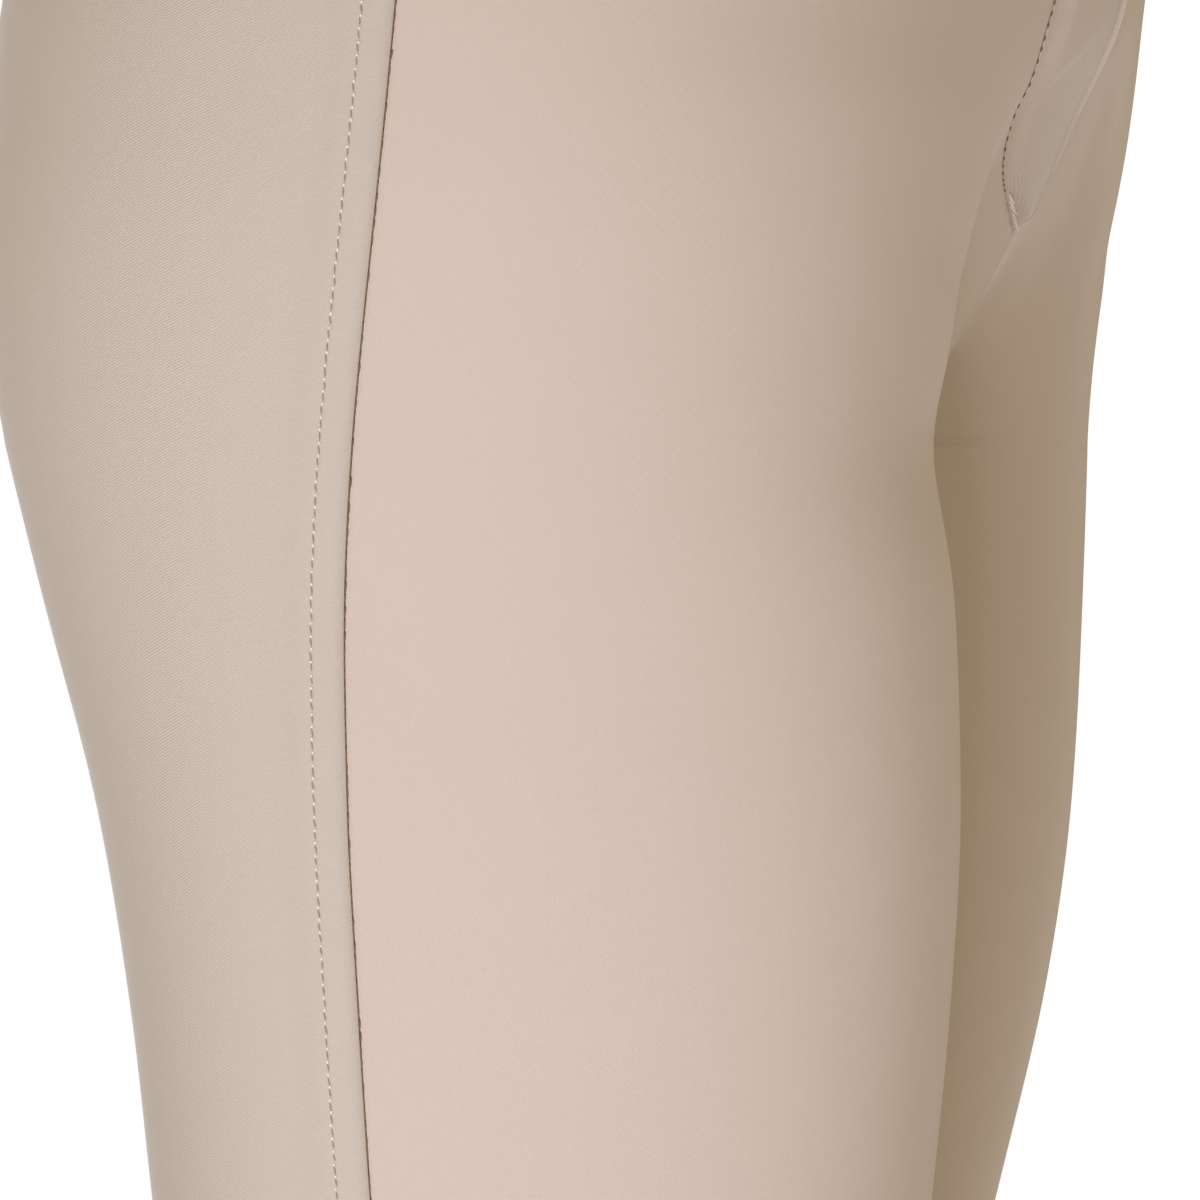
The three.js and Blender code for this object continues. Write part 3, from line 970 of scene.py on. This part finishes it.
@dataclass
class LegPanel:
    """A leg panel from the waistband to the cuff, cut along the side seam, rise seam and inseam."""

    side: Side
    face: Face
    row_step: float = 2.6
    column_step: float = 2.6
    lap: float = 1.3
    lip: float = 2.6
    fold_radius: float = 0.45
    drop: float = 0.4
    topstitch_at: float = 6.4
    under: float = 0.25
    edge_roll: float = 0.5
    top: float = BAND_BOTTOM - SEAM_GAP
    bottom: float = CUFF_TOP

    def heights(self) -> np.ndarray:
        """Gives the heights of the rows, closer together at the two ends and the crotch."""
        close = np.array([0, 0.5, 1.1, 1.9, 3.0])
        count = int(round((self.top - self.bottom - 6) / self.row_step))
        middle = np.linspace(self.top - 4.6, self.bottom + 4.6, count)
        near_crotch = CROTCH_Z + np.array([-0.7, 0.7, 2.0])
        if self.face is Face.FRONT and self.side is Side.RIGHT:
            middle = middle[(middle > -140) | (middle < -200)]
            near_crotch = np.concatenate([near_crotch, np.linspace(-140.6, -199.4, 50)])
        return np.sort(np.concatenate([self.top - close, middle, near_crotch, self.bottom + close]))[::-1]

    def columns(self, width: np.ndarray) -> np.ndarray:
        """Gives the distance of each column from the inner edge.

        Args:
            width: The panel's width at each row.

        Returns:
            Rows by columns of distances.
        """
        nearest = [0, 0.12, 0.3, 0.6, 1.0, 1.6, 2.4, 3.6, 5.0]
        topstitched = [5.7, 6.1, 6.4, 6.7, 7.1, 8.0, 9.4, 11.2, 13.2]
        edge = np.array(nearest + topstitched)
        inner = np.array([0, 0.4, 0.9, 1.6, 2.8, 4.8])
        count = int((float(np.mean(width)) - edge[-1] - inner[-1]) / self.column_step)
        between = np.linspace(0, 1, count + 2)[1:-1]
        if self.face is Face.FRONT and self.side is Side.RIGHT:
            along_fly = np.linspace(0.16, 0.34, 26)
            between = np.sort(np.concatenate([between[(between < 0.155) | (between > 0.345)], along_fly]))
        rows = []
        for whole in width:
            start = inner[-1] * min(whole / 60, 1)
            end = whole - edge[-1]
            rows.append(np.concatenate([inner, start + (end - start) * between, whole - edge[::-1]]))
        return np.array(rows)

    def relief(self, z: np.ndarray, distance: np.ndarray, width: np.ndarray) -> np.ndarray:
        """Gives the height of the seams' relief above the worn form.

        Args:
            z: The heights.
            distance: The distances from the inner edge.
            width: The panel's width at each place.

        Returns:
            One height for each place.
        """
        from_side = width - distance
        at_rise = self.edge_roll if self.face is Face.BACK else 0.15
        height = -at_rise * (1 - smooth(distance / 1.8))
        height -= self.edge_roll * (1 - smooth((self.top - z) / 2.5))
        height -= self.edge_roll * (1 - smooth((z - self.bottom) / 2.5))
        if self.face is Face.FRONT:
            height += self.rise_ridge(z, distance)
            return height - self.under * (1 - smooth(from_side / 1.2)) - self.fly_groove(z, distance)
        raised = self.lap * (1 - smooth((from_side - self.topstitch_at - 0.4) / 8.0))
        soft = (1 - np.clip(from_side / self.lip, 0, 1)) ** 2.2
        tight = 1 - np.sqrt(np.clip(1 - (1 - np.clip(from_side / self.fold_radius, 0, 1)) ** 2, 0, 1))
        fall = 0.8 * soft + 0.2 * tight
        sewn = 0.15 * np.exp(-(((from_side - self.topstitch_at) / 0.6) ** 2))
        return height + raised - (self.lap + self.drop) * fall - sewn

    def rise_ridge(self, z: np.ndarray, distance: np.ndarray) -> np.ndarray:
        """Gives the thin ridge of the right front's edge on the rise seam below the fly.

        Args:
            z: The heights.
            distance: The distances from the inner edge.

        Returns:
            One height for each place.
        """
        if self.side is Side.LEFT:
            return np.zeros(len(z))
        below = 1 - smooth((z - FLY_FOOT + 2.5) / 2.5)
        return 0.35 * below * np.exp(-(((distance - 0.5) / 0.5) ** 2))

    def close_rise(self, points: np.ndarray, z: np.ndarray, distance: np.ndarray) -> None:
        """Brings the panel's edge on the rise seam up to the other panel's, so that no light shows.

        Args:
            points: The points to move.
            z: Their heights.
            distance: Their distances from the inner edge.
        """
        near = np.exp(-((distance / 1.2) ** 2)) * smooth((z - CROTCH_Z + 2) / 2)
        points[:, 0] -= self.side.value * (SEAM_GAP / 2 - RISE_EDGE) * near

    def fly_groove(self, z: np.ndarray, distance: np.ndarray) -> np.ndarray:
        """Gives how far the curved fly stitching draws the right front in.

        Args:
            z: The heights.
            distance: The distances from the inner edge.

        Returns:
            One depth for each place.
        """
        if self.side is Side.LEFT:
            return np.zeros(len(z))
        beyond = distance - FLY_EDGE.read("edge", z - FLY_FOOT)
        rolled = np.where(beyond > 0, np.exp(-((beyond / 1.5) ** 2)), 1.0)
        return 0.4 * rolled * smooth((z - FLY_FOOT + 2) / 3)

    def build(self) -> bpy.types.Object:
        """Builds the panel.

        Returns:
            The finished piece.
        """
        quarter = Quarter(self.side, self.face)
        z_rows = self.heights()
        width_rows = quarter.width(z_rows)
        distances = self.columns(width_rows)
        distances = distances.clip(0, (width_rows - SEAM_GAP / 2)[:, None])
        rows, columns = distances.shape
        z = np.repeat(z_rows, columns)
        width = np.repeat(width_rows, columns)
        distance = distances.ravel()
        relief = self.relief(z, distance, width)
        outer = quarter.cloth(z, distance, relief)
        drop = np.where(self.face is Face.BACK, 0.0, relief * 0.5)
        inner = quarter.cloth(z, distance, drop - CLOTH_WALL)
        inner[:, 2] = inner[:, 2].clip(self.bottom, self.top)
        near_middle = quarter.side.value * np.maximum(quarter.side.value * inner[:, 0], SEAM_GAP / 2)
        inner[:, 0] = near_middle
        self.close_rise(outer, z, distance)
        self.close_rise(inner, z, distance)
        pattern = np.stack([(distance - width) * self.side.value * -1, z], axis=1)
        name = f"{self.face.value}_panel_{self.side.word}"
        shape = (rows, columns)
        outer_grid = outer.reshape(*shape, 3)
        inner_grid = inner.reshape(*shape, 3)
        piece = ClothMesh.wall(name, outer_grid, inner_grid, pattern.reshape(*shape, 2))
        finish = FRONT_TWILL if self.face is Face.FRONT else BACK_TWILL
        finish_piece(piece, finish.material())
        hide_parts(f"{self.face.value}_{self.side.word}")
        return piece


@dataclass(frozen=True)
class Stitch:
    """One stitch as it shows on the cloth."""

    length: float
    width: float
    height: float
    sunk: float
    finish: ThreadFinish
    tilt: float = 0.0

    def model(self) -> tuple[np.ndarray, list[tuple[int, ...]]]:
        """Models the stitch once, 1 long, 1 wide and 1 high around its middle.

        Returns:
            Its points and its faces.
        """
        bpy.ops.object.select_all(action="DESELECT")
        bpy.ops.mesh.primitive_uv_sphere_add(segments=8, ring_count=5, radius=0.5)
        bead = bpy.context.active_object
        bpy.ops.object.mode_set(mode="EDIT")
        bpy.ops.mesh.select_all(action="SELECT")
        bpy.ops.transform.rotate(value=np.pi / 2, orient_axis="Y", center_override=(0.0, 0.0, 0.0))
        bpy.ops.object.mode_set(mode="OBJECT")
        points = np.empty(len(bead.data.vertices) * 3)
        bead.data.vertices.foreach_get("co", points)
        faces = [tuple(face.vertices) for face in bead.data.polygons]
        bpy.data.objects.remove(bead)
        return points.reshape(-1, 3), faces


@dataclass
class StitchRow:
    """A row of equal stitches along a line on the cloth, copied from one modelled stitch."""

    name: str
    stitch: Stitch
    pitch: float = 2.55
    shift: float = 0.0
    wobble: float = 0.06
    seed: int = 3

    def lay(self, points: np.ndarray, normals: np.ndarray) -> bpy.types.Object:
        """Lays the stitches.

        Args:
            points: The line's places in millimetres, close together.
            normals: The direction out of the cloth at each place.

        Returns:
            The row as one piece.
        """
        steps = np.linalg.norm(np.diff(points, axis=0), axis=1)
        lengths = np.concatenate([[0], np.cumsum(steps)])
        at = np.arange(self.pitch * (0.5 + self.shift), lengths[-1] - self.pitch * 0.3, self.pitch)
        draw = np.random.default_rng(self.seed)
        at = at + draw.normal(0, 0.04, len(at)) * self.pitch
        middle = self.read(lengths, points, at)
        ahead = self.read(lengths, points, at + 0.6) - self.read(lengths, points, at - 0.6)
        return self.copy_to(middle, ahead, self.read(lengths, normals, at))

    def copy_to(self, middle: np.ndarray, ahead: np.ndarray, out: np.ndarray) -> bpy.types.Object:
        """Copies the one modelled stitch to many places.

        Args:
            middle: The middle of each stitch.
            ahead: The direction of each stitch.
            out: The direction out of the cloth at each stitch.

        Returns:
            The copies as one piece.
        """
        draw = np.random.default_rng(self.seed + 100)
        along = ahead / np.linalg.norm(ahead, axis=1, keepdims=True)
        out = out - along * (out * along).sum(axis=1, keepdims=True)
        out /= np.linalg.norm(out, axis=1, keepdims=True)
        aside = np.cross(out, along)
        count = len(middle)
        turn = np.radians(self.stitch.tilt + draw.normal(0, 3.0, count))[:, None]
        ahead = along * np.cos(turn) + aside * np.sin(turn)
        aside = aside * np.cos(turn) - along * np.sin(turn)
        middle = middle + aside * draw.normal(0, self.wobble, count)[:, None] - out * self.stitch.sunk
        bead, faces = self.stitch.model()
        size = 1 + draw.normal(0, 0.06, (count, 3))
        length = bead[None, :, 0, None] * self.stitch.length * size[:, :1, None]
        width = bead[None, :, 1, None] * self.stitch.width * size[:, 1:2, None]
        height = bead[None, :, 2, None] * self.stitch.height * size[:, 2:, None]
        places = middle[:, None] + ahead[:, None] * length + aside[:, None] * width + out[:, None] * height
        all_faces = [tuple(v + k * len(bead) for v in face) for k in range(count) for face in faces]
        mesh = bpy.data.meshes.new(self.name)
        mesh.from_pydata((places.reshape(-1, 3) * MM).tolist(), [], all_faces)
        mesh.polygons.foreach_set("use_smooth", [True] * len(mesh.polygons))
        row = bpy.data.objects.new(self.name, mesh)
        bpy.context.collection.objects.link(row)
        finish_piece(row, self.stitch.finish.material())
        return row

    @staticmethod
    def read(lengths: np.ndarray, values: np.ndarray, at: np.ndarray) -> np.ndarray:
        """Reads three columns of values along the line."""
        return np.stack([np.interp(at, lengths, values[:, k]) for k in range(3)], axis=1)


# The side seam's dashes are partly dark sewing thread and partly painted shade of the gap between the lapped
# back panel and the front.
SEAM_SHADE_DASH = Stitch(2.6, 0.46, 0.42, 0.0, DARK_THREAD_AND_SEAM_SHADE, tilt=-3.0)
TOP_DOT = Stitch(0.66, 0.52, 0.46, -0.08, LIGHT_THREAD)
# The topstitch's threads: the light thread, painted darker as in shade.
TOP_SHADED_DASH = Stitch(1.7, 0.34, 0.3, 0.03, SHADE_THREAD, tilt=8.0)
FLY_DASH = Stitch(1.15, 0.32, 0.34, 0.0, DARK_THREAD_AND_SEAM_SHADE, tilt=6.0)
BAR_STITCH = Stitch(2.5, 0.3, 0.34, -0.1, LIGHT_THREAD)
ZIGZAG_STITCH = Stitch(1.4, 0.2, 0.26, 0.0, LIGHT_THREAD)
PLAIN_STITCH = Stitch(2.0, 0.34, 0.36, 0.0, LIGHT_THREAD)


@dataclass
class SideSeam:
    """The stitching of the lapped side seam of one leg."""

    side: Side
    panel: LegPanel = field(init=False)

    def __post_init__(self) -> None:
        """Takes the sizes of the back panel that the seam is sewn on."""
        self.panel = LegPanel(self.side, Face.BACK)

    def line(self, from_side: float, lift: float) -> tuple[np.ndarray, np.ndarray]:
        """Gives a line along the back panel beside the side seam.

        Args:
            from_side: Its distance from the side seam.
            lift: Its height above the cloth there.

        Returns:
            Its places and the directions out of the cloth.
        """
        quarter = Quarter(self.side, Face.BACK)
        z = np.arange(self.panel.top - 0.5, self.panel.bottom + 0.5, -1.5)
        width = quarter.width(z)
        distance = width - from_side
        relief = self.panel.relief(z, distance, width)
        height = relief + lift
        return quarter.cloth(z, distance, height), quarter.outward(z, distance)

    def build(self) -> None:
        """Sews the dark stitches in the seam, whose colour is partly painted shade of the seam's gap, and the
        topstitching beside it, whose dashes are thread in painted shade.
        """
        ditch, out = self.line(0.0, 0.15)
        StitchRow(f"side_seam_stitches_{self.side.word}", SEAM_SHADE_DASH).lay(ditch, out)
        top, out = self.line(self.panel.topstitch_at, 0.12)
        StitchRow(f"topstitch_knots_{self.side.word}", TOP_DOT, seed=5).lay(top, out)
        StitchRow(f"topstitch_threads_{self.side.word}", TOP_SHADED_DASH, shift=0.5, seed=6).lay(top, out)


@dataclass
class FlyShield:
    """The puffed fly shield with its curved foot, right over left."""

    bottom: float = FLY_FOOT + 0.4
    lift: float = 0.6
    puff: float = 0.9
    pressed: float = 0.08
    ease: float = 8.0
    fold: float = 0.18
    reach: float = 0.8
    most: float = 0.4
    rows: int = 130
    columns: int = 60
    top: float = BAND_BOTTOM - SEAM_GAP

    def edge(self, z: np.ndarray) -> np.ndarray:
        """Gives the distance of the curved edge from the centre front at each height."""
        return FLY_EDGE.read("edge", z - FLY_FOOT)

    def place(self, z: np.ndarray, distance: np.ndarray, height: np.ndarray) -> np.ndarray:
        """Gives places over both fronts, with distance measured towards the wearer's right."""
        right = Quarter(Side.RIGHT, Face.FRONT).cloth(z, np.maximum(distance, 0), height)
        left = Quarter(Side.LEFT, Face.FRONT).cloth(z, np.maximum(-distance, 0), height)
        return np.where((distance < 0)[:, None], left, right)

    def out(self, z: np.ndarray, distance: np.ndarray) -> np.ndarray:
        """Gives the direction out of the cloth on the right front."""
        return Quarter(Side.RIGHT, Face.FRONT).outward(z, np.maximum(distance, 0))

    def build(self) -> bpy.types.Object:
        """Builds the shield.

        Returns:
            The finished piece.
        """
        share = np.linspace(0, 1, self.rows)
        z_rows = self.bottom + (self.top - self.bottom) * (1 - share) ** 1.25
        edge = self.edge(z_rows)
        overlap = np.minimum(self.reach, edge * self.most)
        t = (1 - np.cos(np.linspace(0, np.pi, self.columns))) / 2
        distance = (-overlap[:, None] + (edge + overlap)[:, None] * t[None, :]).ravel()
        z = np.repeat(z_rows, self.columns)
        rounded = np.sin(np.pi * np.tile(t, self.rows))
        puffed = self.lift + self.puff * rounded ** 0.8
        full = puffed + CLOTH_WALL
        from_edge = np.repeat(edge, self.columns) - distance
        eased = smooth(from_edge / self.ease) * smooth((z - FLY_FOOT) / 5)
        crown = self.pressed + (full - self.pressed) * eased
        crown += self.fold * eased * np.exp(-(((distance + 0.1) / 0.35) ** 2))
        crown -= 0.6 * (1 - smooth((distance + np.repeat(overlap, self.columns)) / 0.6))
        crown = np.maximum(crown, self.pressed)
        outer = self.place(z, distance, crown)
        inner = self.place(z, distance, np.minimum(puffed, crown - 0.3))
        shape = (self.rows, self.columns)
        pattern = np.stack([distance, z], axis=1).reshape(*shape, 2)
        outer_grid = outer.reshape(*shape, 3)
        inner_grid = inner.reshape(*shape, 3)
        piece = ClothMesh.wall("fly_shield_cloth", outer_grid, inner_grid, pattern)
        finish_piece(piece, FLY_TWILL.material())
        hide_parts("fly_shield")
        return piece

    def curve(self, inset: float, z: np.ndarray) -> tuple[np.ndarray, np.ndarray]:
        """Gives a line along the curved edge.

        Args:
            inset: How far the line lies beyond the edge.
            z: The heights of its places.

        Returns:
            The heights and the distances from the centre front.
        """
        return z, self.edge(z) + inset

    def sew(self) -> None:
        """Sews the curved line, the bar tack at its foot and the zigzag up to the folded edge."""
        z = np.concatenate([np.arange(self.top - 1.0, -175, -1.5), np.linspace(-175, -188.4, 60)])
        z, distance = self.curve(0.2, z)
        line = self.place(z, distance, np.full(len(z), -0.08))
        StitchRow("fly_curve_stitches", FLY_DASH, pitch=2.5, seed=8).lay(line, self.out(z, distance))
        self.tack("fly_bar_tack", BAR_STITCH, np.linspace(-187.9, -190.9, 7), 1.3)
        self.tack("fly_zigzag", ZIGZAG_STITCH, np.linspace(-191.2, -194.2, 10), 0.8)

    def tack(self, name: str, stitch: Stitch, heights: np.ndarray, reach: float) -> None:
        """Sews stitches that cross the foot of the curve to and fro.

        Args:
            name: The piece's name.
            stitch: The stitch.
            heights: The heights of the stitches' ends.
            reach: How far they pass the edge on both sides.
        """
        z, distance = self.curve(0.1, heights)
        sides = np.where(np.arange(len(heights)) % 2 == 0, reach, -reach)
        ends = self.place(z, distance + sides, np.where(sides < 0, 1.4, 0.5))
        ends[:, 2] += sides * 0.55
        out = self.out(z, distance)
        middle = (ends[1:] + ends[:-1]) / 2
        StitchRow(name, stitch, wobble=0.03).copy_to(middle, ends[1:] - ends[:-1], out[1:])


@dataclass
class Waistband:
    """One strip round the waist whose right end laps over its left end at the centre front."""

    wall: float = 2.2
    proud: float = 0.6
    lap_reach: float = 15.0
    lap_easing: float = 34.0
    layer_gap: float = 0.5
    rows: int = 25
    column_step: float = 2.6

    def loop(self, z: float) -> np.ndarray:
        """Gives the waist's outline from the centre front round the right side and back to it."""
        at = np.array([z])
        front = Section.outlines(at, Face.FRONT)[0]
        back = Section.outlines(at, Face.BACK)[0][::-1][1:]
        half = np.concatenate([front, back])
        right = half * np.array([-1, 1])
        return np.concatenate([right, half[::-1]])

    def lift(self, distance: np.ndarray) -> np.ndarray:
        """Gives the extra height of the band's upper end where it laps over the lower end."""
        lap = self.wall + self.layer_gap
        return lap * (1 - smooth((distance - self.lap_reach) / self.lap_easing))

    def place(self, z: float, distance: np.ndarray, height: np.ndarray) -> tuple[np.ndarray, np.ndarray]:
        """Gives places on the band at one height.

        Args:
            z: The height.
            distance: The distances round the waist from the centre front.
            height: How far each place stands off the waist's outline.

        Returns:
            The places and the directions out of them.
        """
        loop = self.loop(z)
        steps = np.linalg.norm(np.diff(loop, axis=0), axis=1)
        lengths = np.concatenate([[0], np.cumsum(steps)])
        total = lengths[-1]

        def read(at: np.ndarray) -> np.ndarray:
            """Reads the outline at distances that may pass its ends."""
            wrapped = np.mod(at, total)
            return np.stack([np.interp(wrapped, lengths, loop[:, k]) for k in range(2)], axis=1)

        along = read(distance + 1.5) - read(distance - 1.5)
        along /= np.linalg.norm(along, axis=1, keepdims=True)
        out = np.stack([-along[:, 1], along[:, 0]], axis=1)
        flat = read(distance) + out * height[:, None]
        level = np.full((len(distance), 1), z)
        return np.hstack([flat, level]), np.hstack([out, np.zeros((len(distance), 1))])

    def build(self) -> bpy.types.Object:
        """Builds the band.

        Returns:
            The finished piece.
        """
        t = (1 - np.cos(np.linspace(0, np.pi, self.rows))) / 2
        z_rows = BAND_TOP + (BAND_BOTTOM - BAND_TOP) * t
        outer = []
        inner = []
        pattern = []
        total = 0.0
        for z in z_rows:
            loop = self.loop(float(z))
            total = float(np.linalg.norm(np.diff(loop, axis=0), axis=1).sum())
            columns = int(760 / self.column_step)
            distance = np.linspace(-self.lap_reach, total + self.lap_reach, columns)
            from_edge = min(BAND_TOP - z, z - BAND_BOTTOM)
            fold = 0.9 * (1 - np.sqrt(max(1 - max(1 - from_edge / 1.1, 0) ** 2, 0)))
            sewn = 0.25 * np.exp(-(((from_edge - 3.0) / 0.7) ** 2))
            height = self.proud + self.lift(distance)
            ends = np.minimum(distance + self.lap_reach, total + self.lap_reach - distance)
            height_out = height - fold - sewn - 0.6 * (1 - smooth(ends / 1.2))
            outer.append(self.place(float(z), distance, height_out)[0])
            inner.append(self.place(float(z), distance, height - self.wall + fold)[0])
            pattern.append(np.stack([distance, np.full(columns, z)], axis=1))
        piece = ClothMesh.wall("waistband_cloth", np.array(outer), np.array(inner), np.array(pattern))
        finish_piece(piece, BAND_TWILL.material())
        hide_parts("waistband")
        return piece

    def sew(self) -> None:
        """Sews one row along the top and one along the bottom of the band."""
        for word, z in (("upper", BAND_TOP - 3.0), ("lower", BAND_BOTTOM + 3.0)):
            loop = self.loop(z)
            total = float(np.linalg.norm(np.diff(loop, axis=0), axis=1).sum())
            distance = np.arange(-self.lap_reach + 2.5, total - self.lap_reach, 1.5)
            height = self.proud + self.lift(distance) - 0.15
            line, out = self.place(z, distance, height)
            StitchRow(f"waistband_{word}_stitches", PLAIN_STITCH, seed=11).lay(line, out)


@dataclass
class AnkleCuff:
    """The elastic ribbed cuff of one leg, a short tube below the panels."""

    side: Side
    rows: int = 60
    columns: int = 240
    roll: float = 0.6

    def build(self) -> bpy.types.Object:
        """Builds the cuff.

        Returns:
            The finished piece.
        """
        top = CUFF_TOP - SEAM_GAP
        t = (1 - np.cos(np.linspace(0, np.pi, self.rows))) / 2
        z_rows = top + (CUFF_BOTTOM - top) * (0.35 * t + 0.65 * np.linspace(0, 1, self.rows))
        half = np.linspace(0, 1, self.columns // 2 + 1)
        front = Quarter(self.side, Face.FRONT)
        back = Quarter(self.side, Face.BACK)
        z = np.repeat(z_rows, len(half))
        share = np.tile(half, self.rows)
        from_edge = np.minimum(top - z, z - CUFF_BOTTOM)
        rolled = self.roll * (1 - smooth(from_edge / 2.2))
        gathered = 0.35 * np.sin(z / 3.1) * np.exp(-(((z - top) / 12) ** 2))
        grids = {}
        for layer in ("outer", "inner"):
            halves = []
            for quarter in (front, back):
                distance = share * quarter.width(z)
                height = gathered - rolled if layer == "outer" else gathered * 0.5 - CLOTH_WALL
                places = quarter.cloth(z, distance, height)
                places[:, 2] = z
                halves.append(places.reshape(self.rows, len(half), 3))
            around = np.concatenate([halves[0], halves[1][:, -2::-1]], axis=1)
            around[:, -1] = around[:, 0]
            grids[layer] = around
        girth = float((front.width(z_rows).mean() + back.width(z_rows).mean()))
        across = np.linspace(0, girth, grids["outer"].shape[1])
        pattern = np.stack(np.meshgrid(across, z_rows), axis=2)
        name = f"cuff_knit_{self.side.word}"
        piece = ClothMesh.wall(name, grids["outer"], grids["inner"], pattern, closed=True)
        finish_piece(piece, CUFF_KNIT.material())
        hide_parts(f"cuff_{self.side.word}")
        return piece


@dataclass(frozen=True)
class ButtonFinish:
    """The satin plastic of the waist button."""

    name: str = "button plastic"
    color: Color = (0.45, 0.385, 0.31)
    dark: Color = (0.36, 0.3, 0.235)

    def material(self) -> bpy.types.Material:
        """Builds the material.

        Returns:
            The material.
        """
        made = bpy.data.materials.new(self.name)
        made.use_nodes = True
        make = NodeMaker(made.node_tree)
        surface = made.node_tree.nodes["Principled BSDF"]
        place = make.add("ShaderNodeTexCoord")
        cloud = make.noise(place.outputs["Object"], 160.0, 3.0)
        make.feed(surface.inputs["Base Color"], make.mix(cloud, rgba(self.color), rgba(self.dark)))
        make.feed(surface.inputs["Roughness"], make.math("MULTIPLY_ADD", cloud, 0.16, 0.3))
        bump = make.add("ShaderNodeBump")
        bump.inputs["Distance"].default_value = 0.05 * MM
        make.feed(bump.inputs["Height"], cloud)
        make.feed(surface.inputs["Normal"], bump.outputs["Normal"])
        return made


@dataclass
class WaistButton:
    """The plain round button, which keeps its solid's form."""

    node: str = "waist_button"

    def dress(self) -> None:
        """Gives the button its finish."""
        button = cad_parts[self.node]
        finish = ButtonFinish().material()
        if not button.material_slots:
            button.data.materials.append(finish)
        for slot in button.material_slots:
            slot.material = finish
        LOG.info("%s: dressed", self.node)


@dataclass
class Studio:
    """The camera at the picture's angle, soft lights, a white surround and a pale floor."""

    target: tuple[float, float, float] = (-0.085, -0.014, -0.270)
    azimuth: float = -78.0
    distance: float = 3.0
    lens: float = 450.0
    floor_z: float = -0.93

    def camera(self) -> None:
        """Adds the camera."""
        turn = np.radians(self.azimuth)
        ahead = np.array([-np.sin(turn), np.cos(turn), 0.0])
        place = np.array(self.target) - ahead * self.distance
        data = bpy.data.cameras.new("camera")
        data.lens = self.lens
        data.sensor_width = 36.0
        data.clip_end = 50.0
        camera = bpy.data.objects.new("camera", data)
        camera.location = place.tolist()
        camera.rotation_euler = Vector(ahead.tolist()).to_track_quat("-Z", "Y").to_euler()
        bpy.context.collection.objects.link(camera)
        bpy.context.scene.camera = camera

    def light(
        self, name: str, place: tuple[float, float, float], size: float, power: float, color: Color
    ) -> None:
        """Adds one soft square light that faces the garment.

        Args:
            name: Its name.
            place: Where it stands, in metres.
            size: The length of its side.
            power: Its power in watts.
            color: Its colour.
        """
        data = bpy.data.lights.new(name, "AREA")
        data.shape = "SQUARE"
        data.size = size
        data.energy = power
        data.color = color
        light = bpy.data.objects.new(name, data)
        light.location = place
        aim = Vector(self.target) - Vector(place)
        light.rotation_euler = aim.to_track_quat("-Z", "Y").to_euler()
        bpy.context.collection.objects.link(light)

    def surround(self, seen: float, ambient: float, tint: Color) -> None:
        """Makes the surround white to look at and gives it a lower, even light.

        Args:
            seen: Its brightness behind the garment.
            ambient: The strength of the light that it casts.
            tint: The colour of that light.
        """
        world = bpy.data.worlds.new("surround")
        bpy.context.scene.world = world
        world.use_nodes = True
        tree = world.node_tree
        tree.nodes.clear()
        ray = tree.nodes.new("ShaderNodeLightPath")
        cast = tree.nodes.new("ShaderNodeBackground")
        cast.inputs["Color"].default_value = rgba(tint)
        cast.inputs["Strength"].default_value = ambient
        shown = tree.nodes.new("ShaderNodeBackground")
        shown.inputs["Color"].default_value = (1.0, 1.0, 1.0, 1.0)
        shown.inputs["Strength"].default_value = seen
        mix = tree.nodes.new("ShaderNodeMixShader")
        output = tree.nodes.new("ShaderNodeOutputWorld")
        tree.links.new(ray.outputs["Is Camera Ray"], mix.inputs[0])
        tree.links.new(cast.outputs[0], mix.inputs[1])
        tree.links.new(shown.outputs[0], mix.inputs[2])
        tree.links.new(mix.outputs[0], output.inputs[0])

    def floor(self) -> None:
        """Adds the plain pale floor."""
        bpy.ops.object.select_all(action="DESELECT")
        middle = (0, 0, self.floor_z)
        bpy.ops.mesh.primitive_circle_add(vertices=64, radius=2.2, fill_type="NGON", location=middle)
        floor = bpy.context.active_object
        floor.name = "floor"
        finish = bpy.data.materials.new("floor paint")
        finish.use_nodes = True
        surface = finish.node_tree.nodes["Principled BSDF"]
        surface.inputs["Base Color"].default_value = (0.82, 0.81, 0.79, 1.0)
        surface.inputs["Roughness"].default_value = 0.9
        floor.data.materials.append(finish)

    def build(self) -> None:
        """Builds the whole studio."""
        bpy.context.scene.view_settings.view_transform = "Standard"
        self.camera()
        self.light("key", (-1.40, -0.05, -0.65), 0.5, 12.7, (0.76, 0.81, 1.0))
        self.light("side glow", (2.6, -1.4, -0.3), 1.4, 8.0, (1.0, 0.85, 0.8))
        self.light("back glow", (-1.0, 2.9, -0.8), 1.6, 10.0, (0.85, 0.9, 1.0))
        self.surround(1.0, 0.485, (1.0, 0.88, 0.65))
        self.floor()


def main() -> None:
    """Builds and dresses the breeches, piece by piece."""
    logging.basicConfig(level=logging.INFO, format="%(message)s")
    Studio().build()
    for side in BOTH:
        for face in Face:
            LegPanel(side, face).build()
        SideSeam(side).build()
        AnkleCuff(side).build()
    fly = FlyShield()
    fly.build()
    fly.sew()
    band = Waistband()
    band.build()
    band.sew()
    WaistButton().dress()


if __name__ == "__main__":
    main()
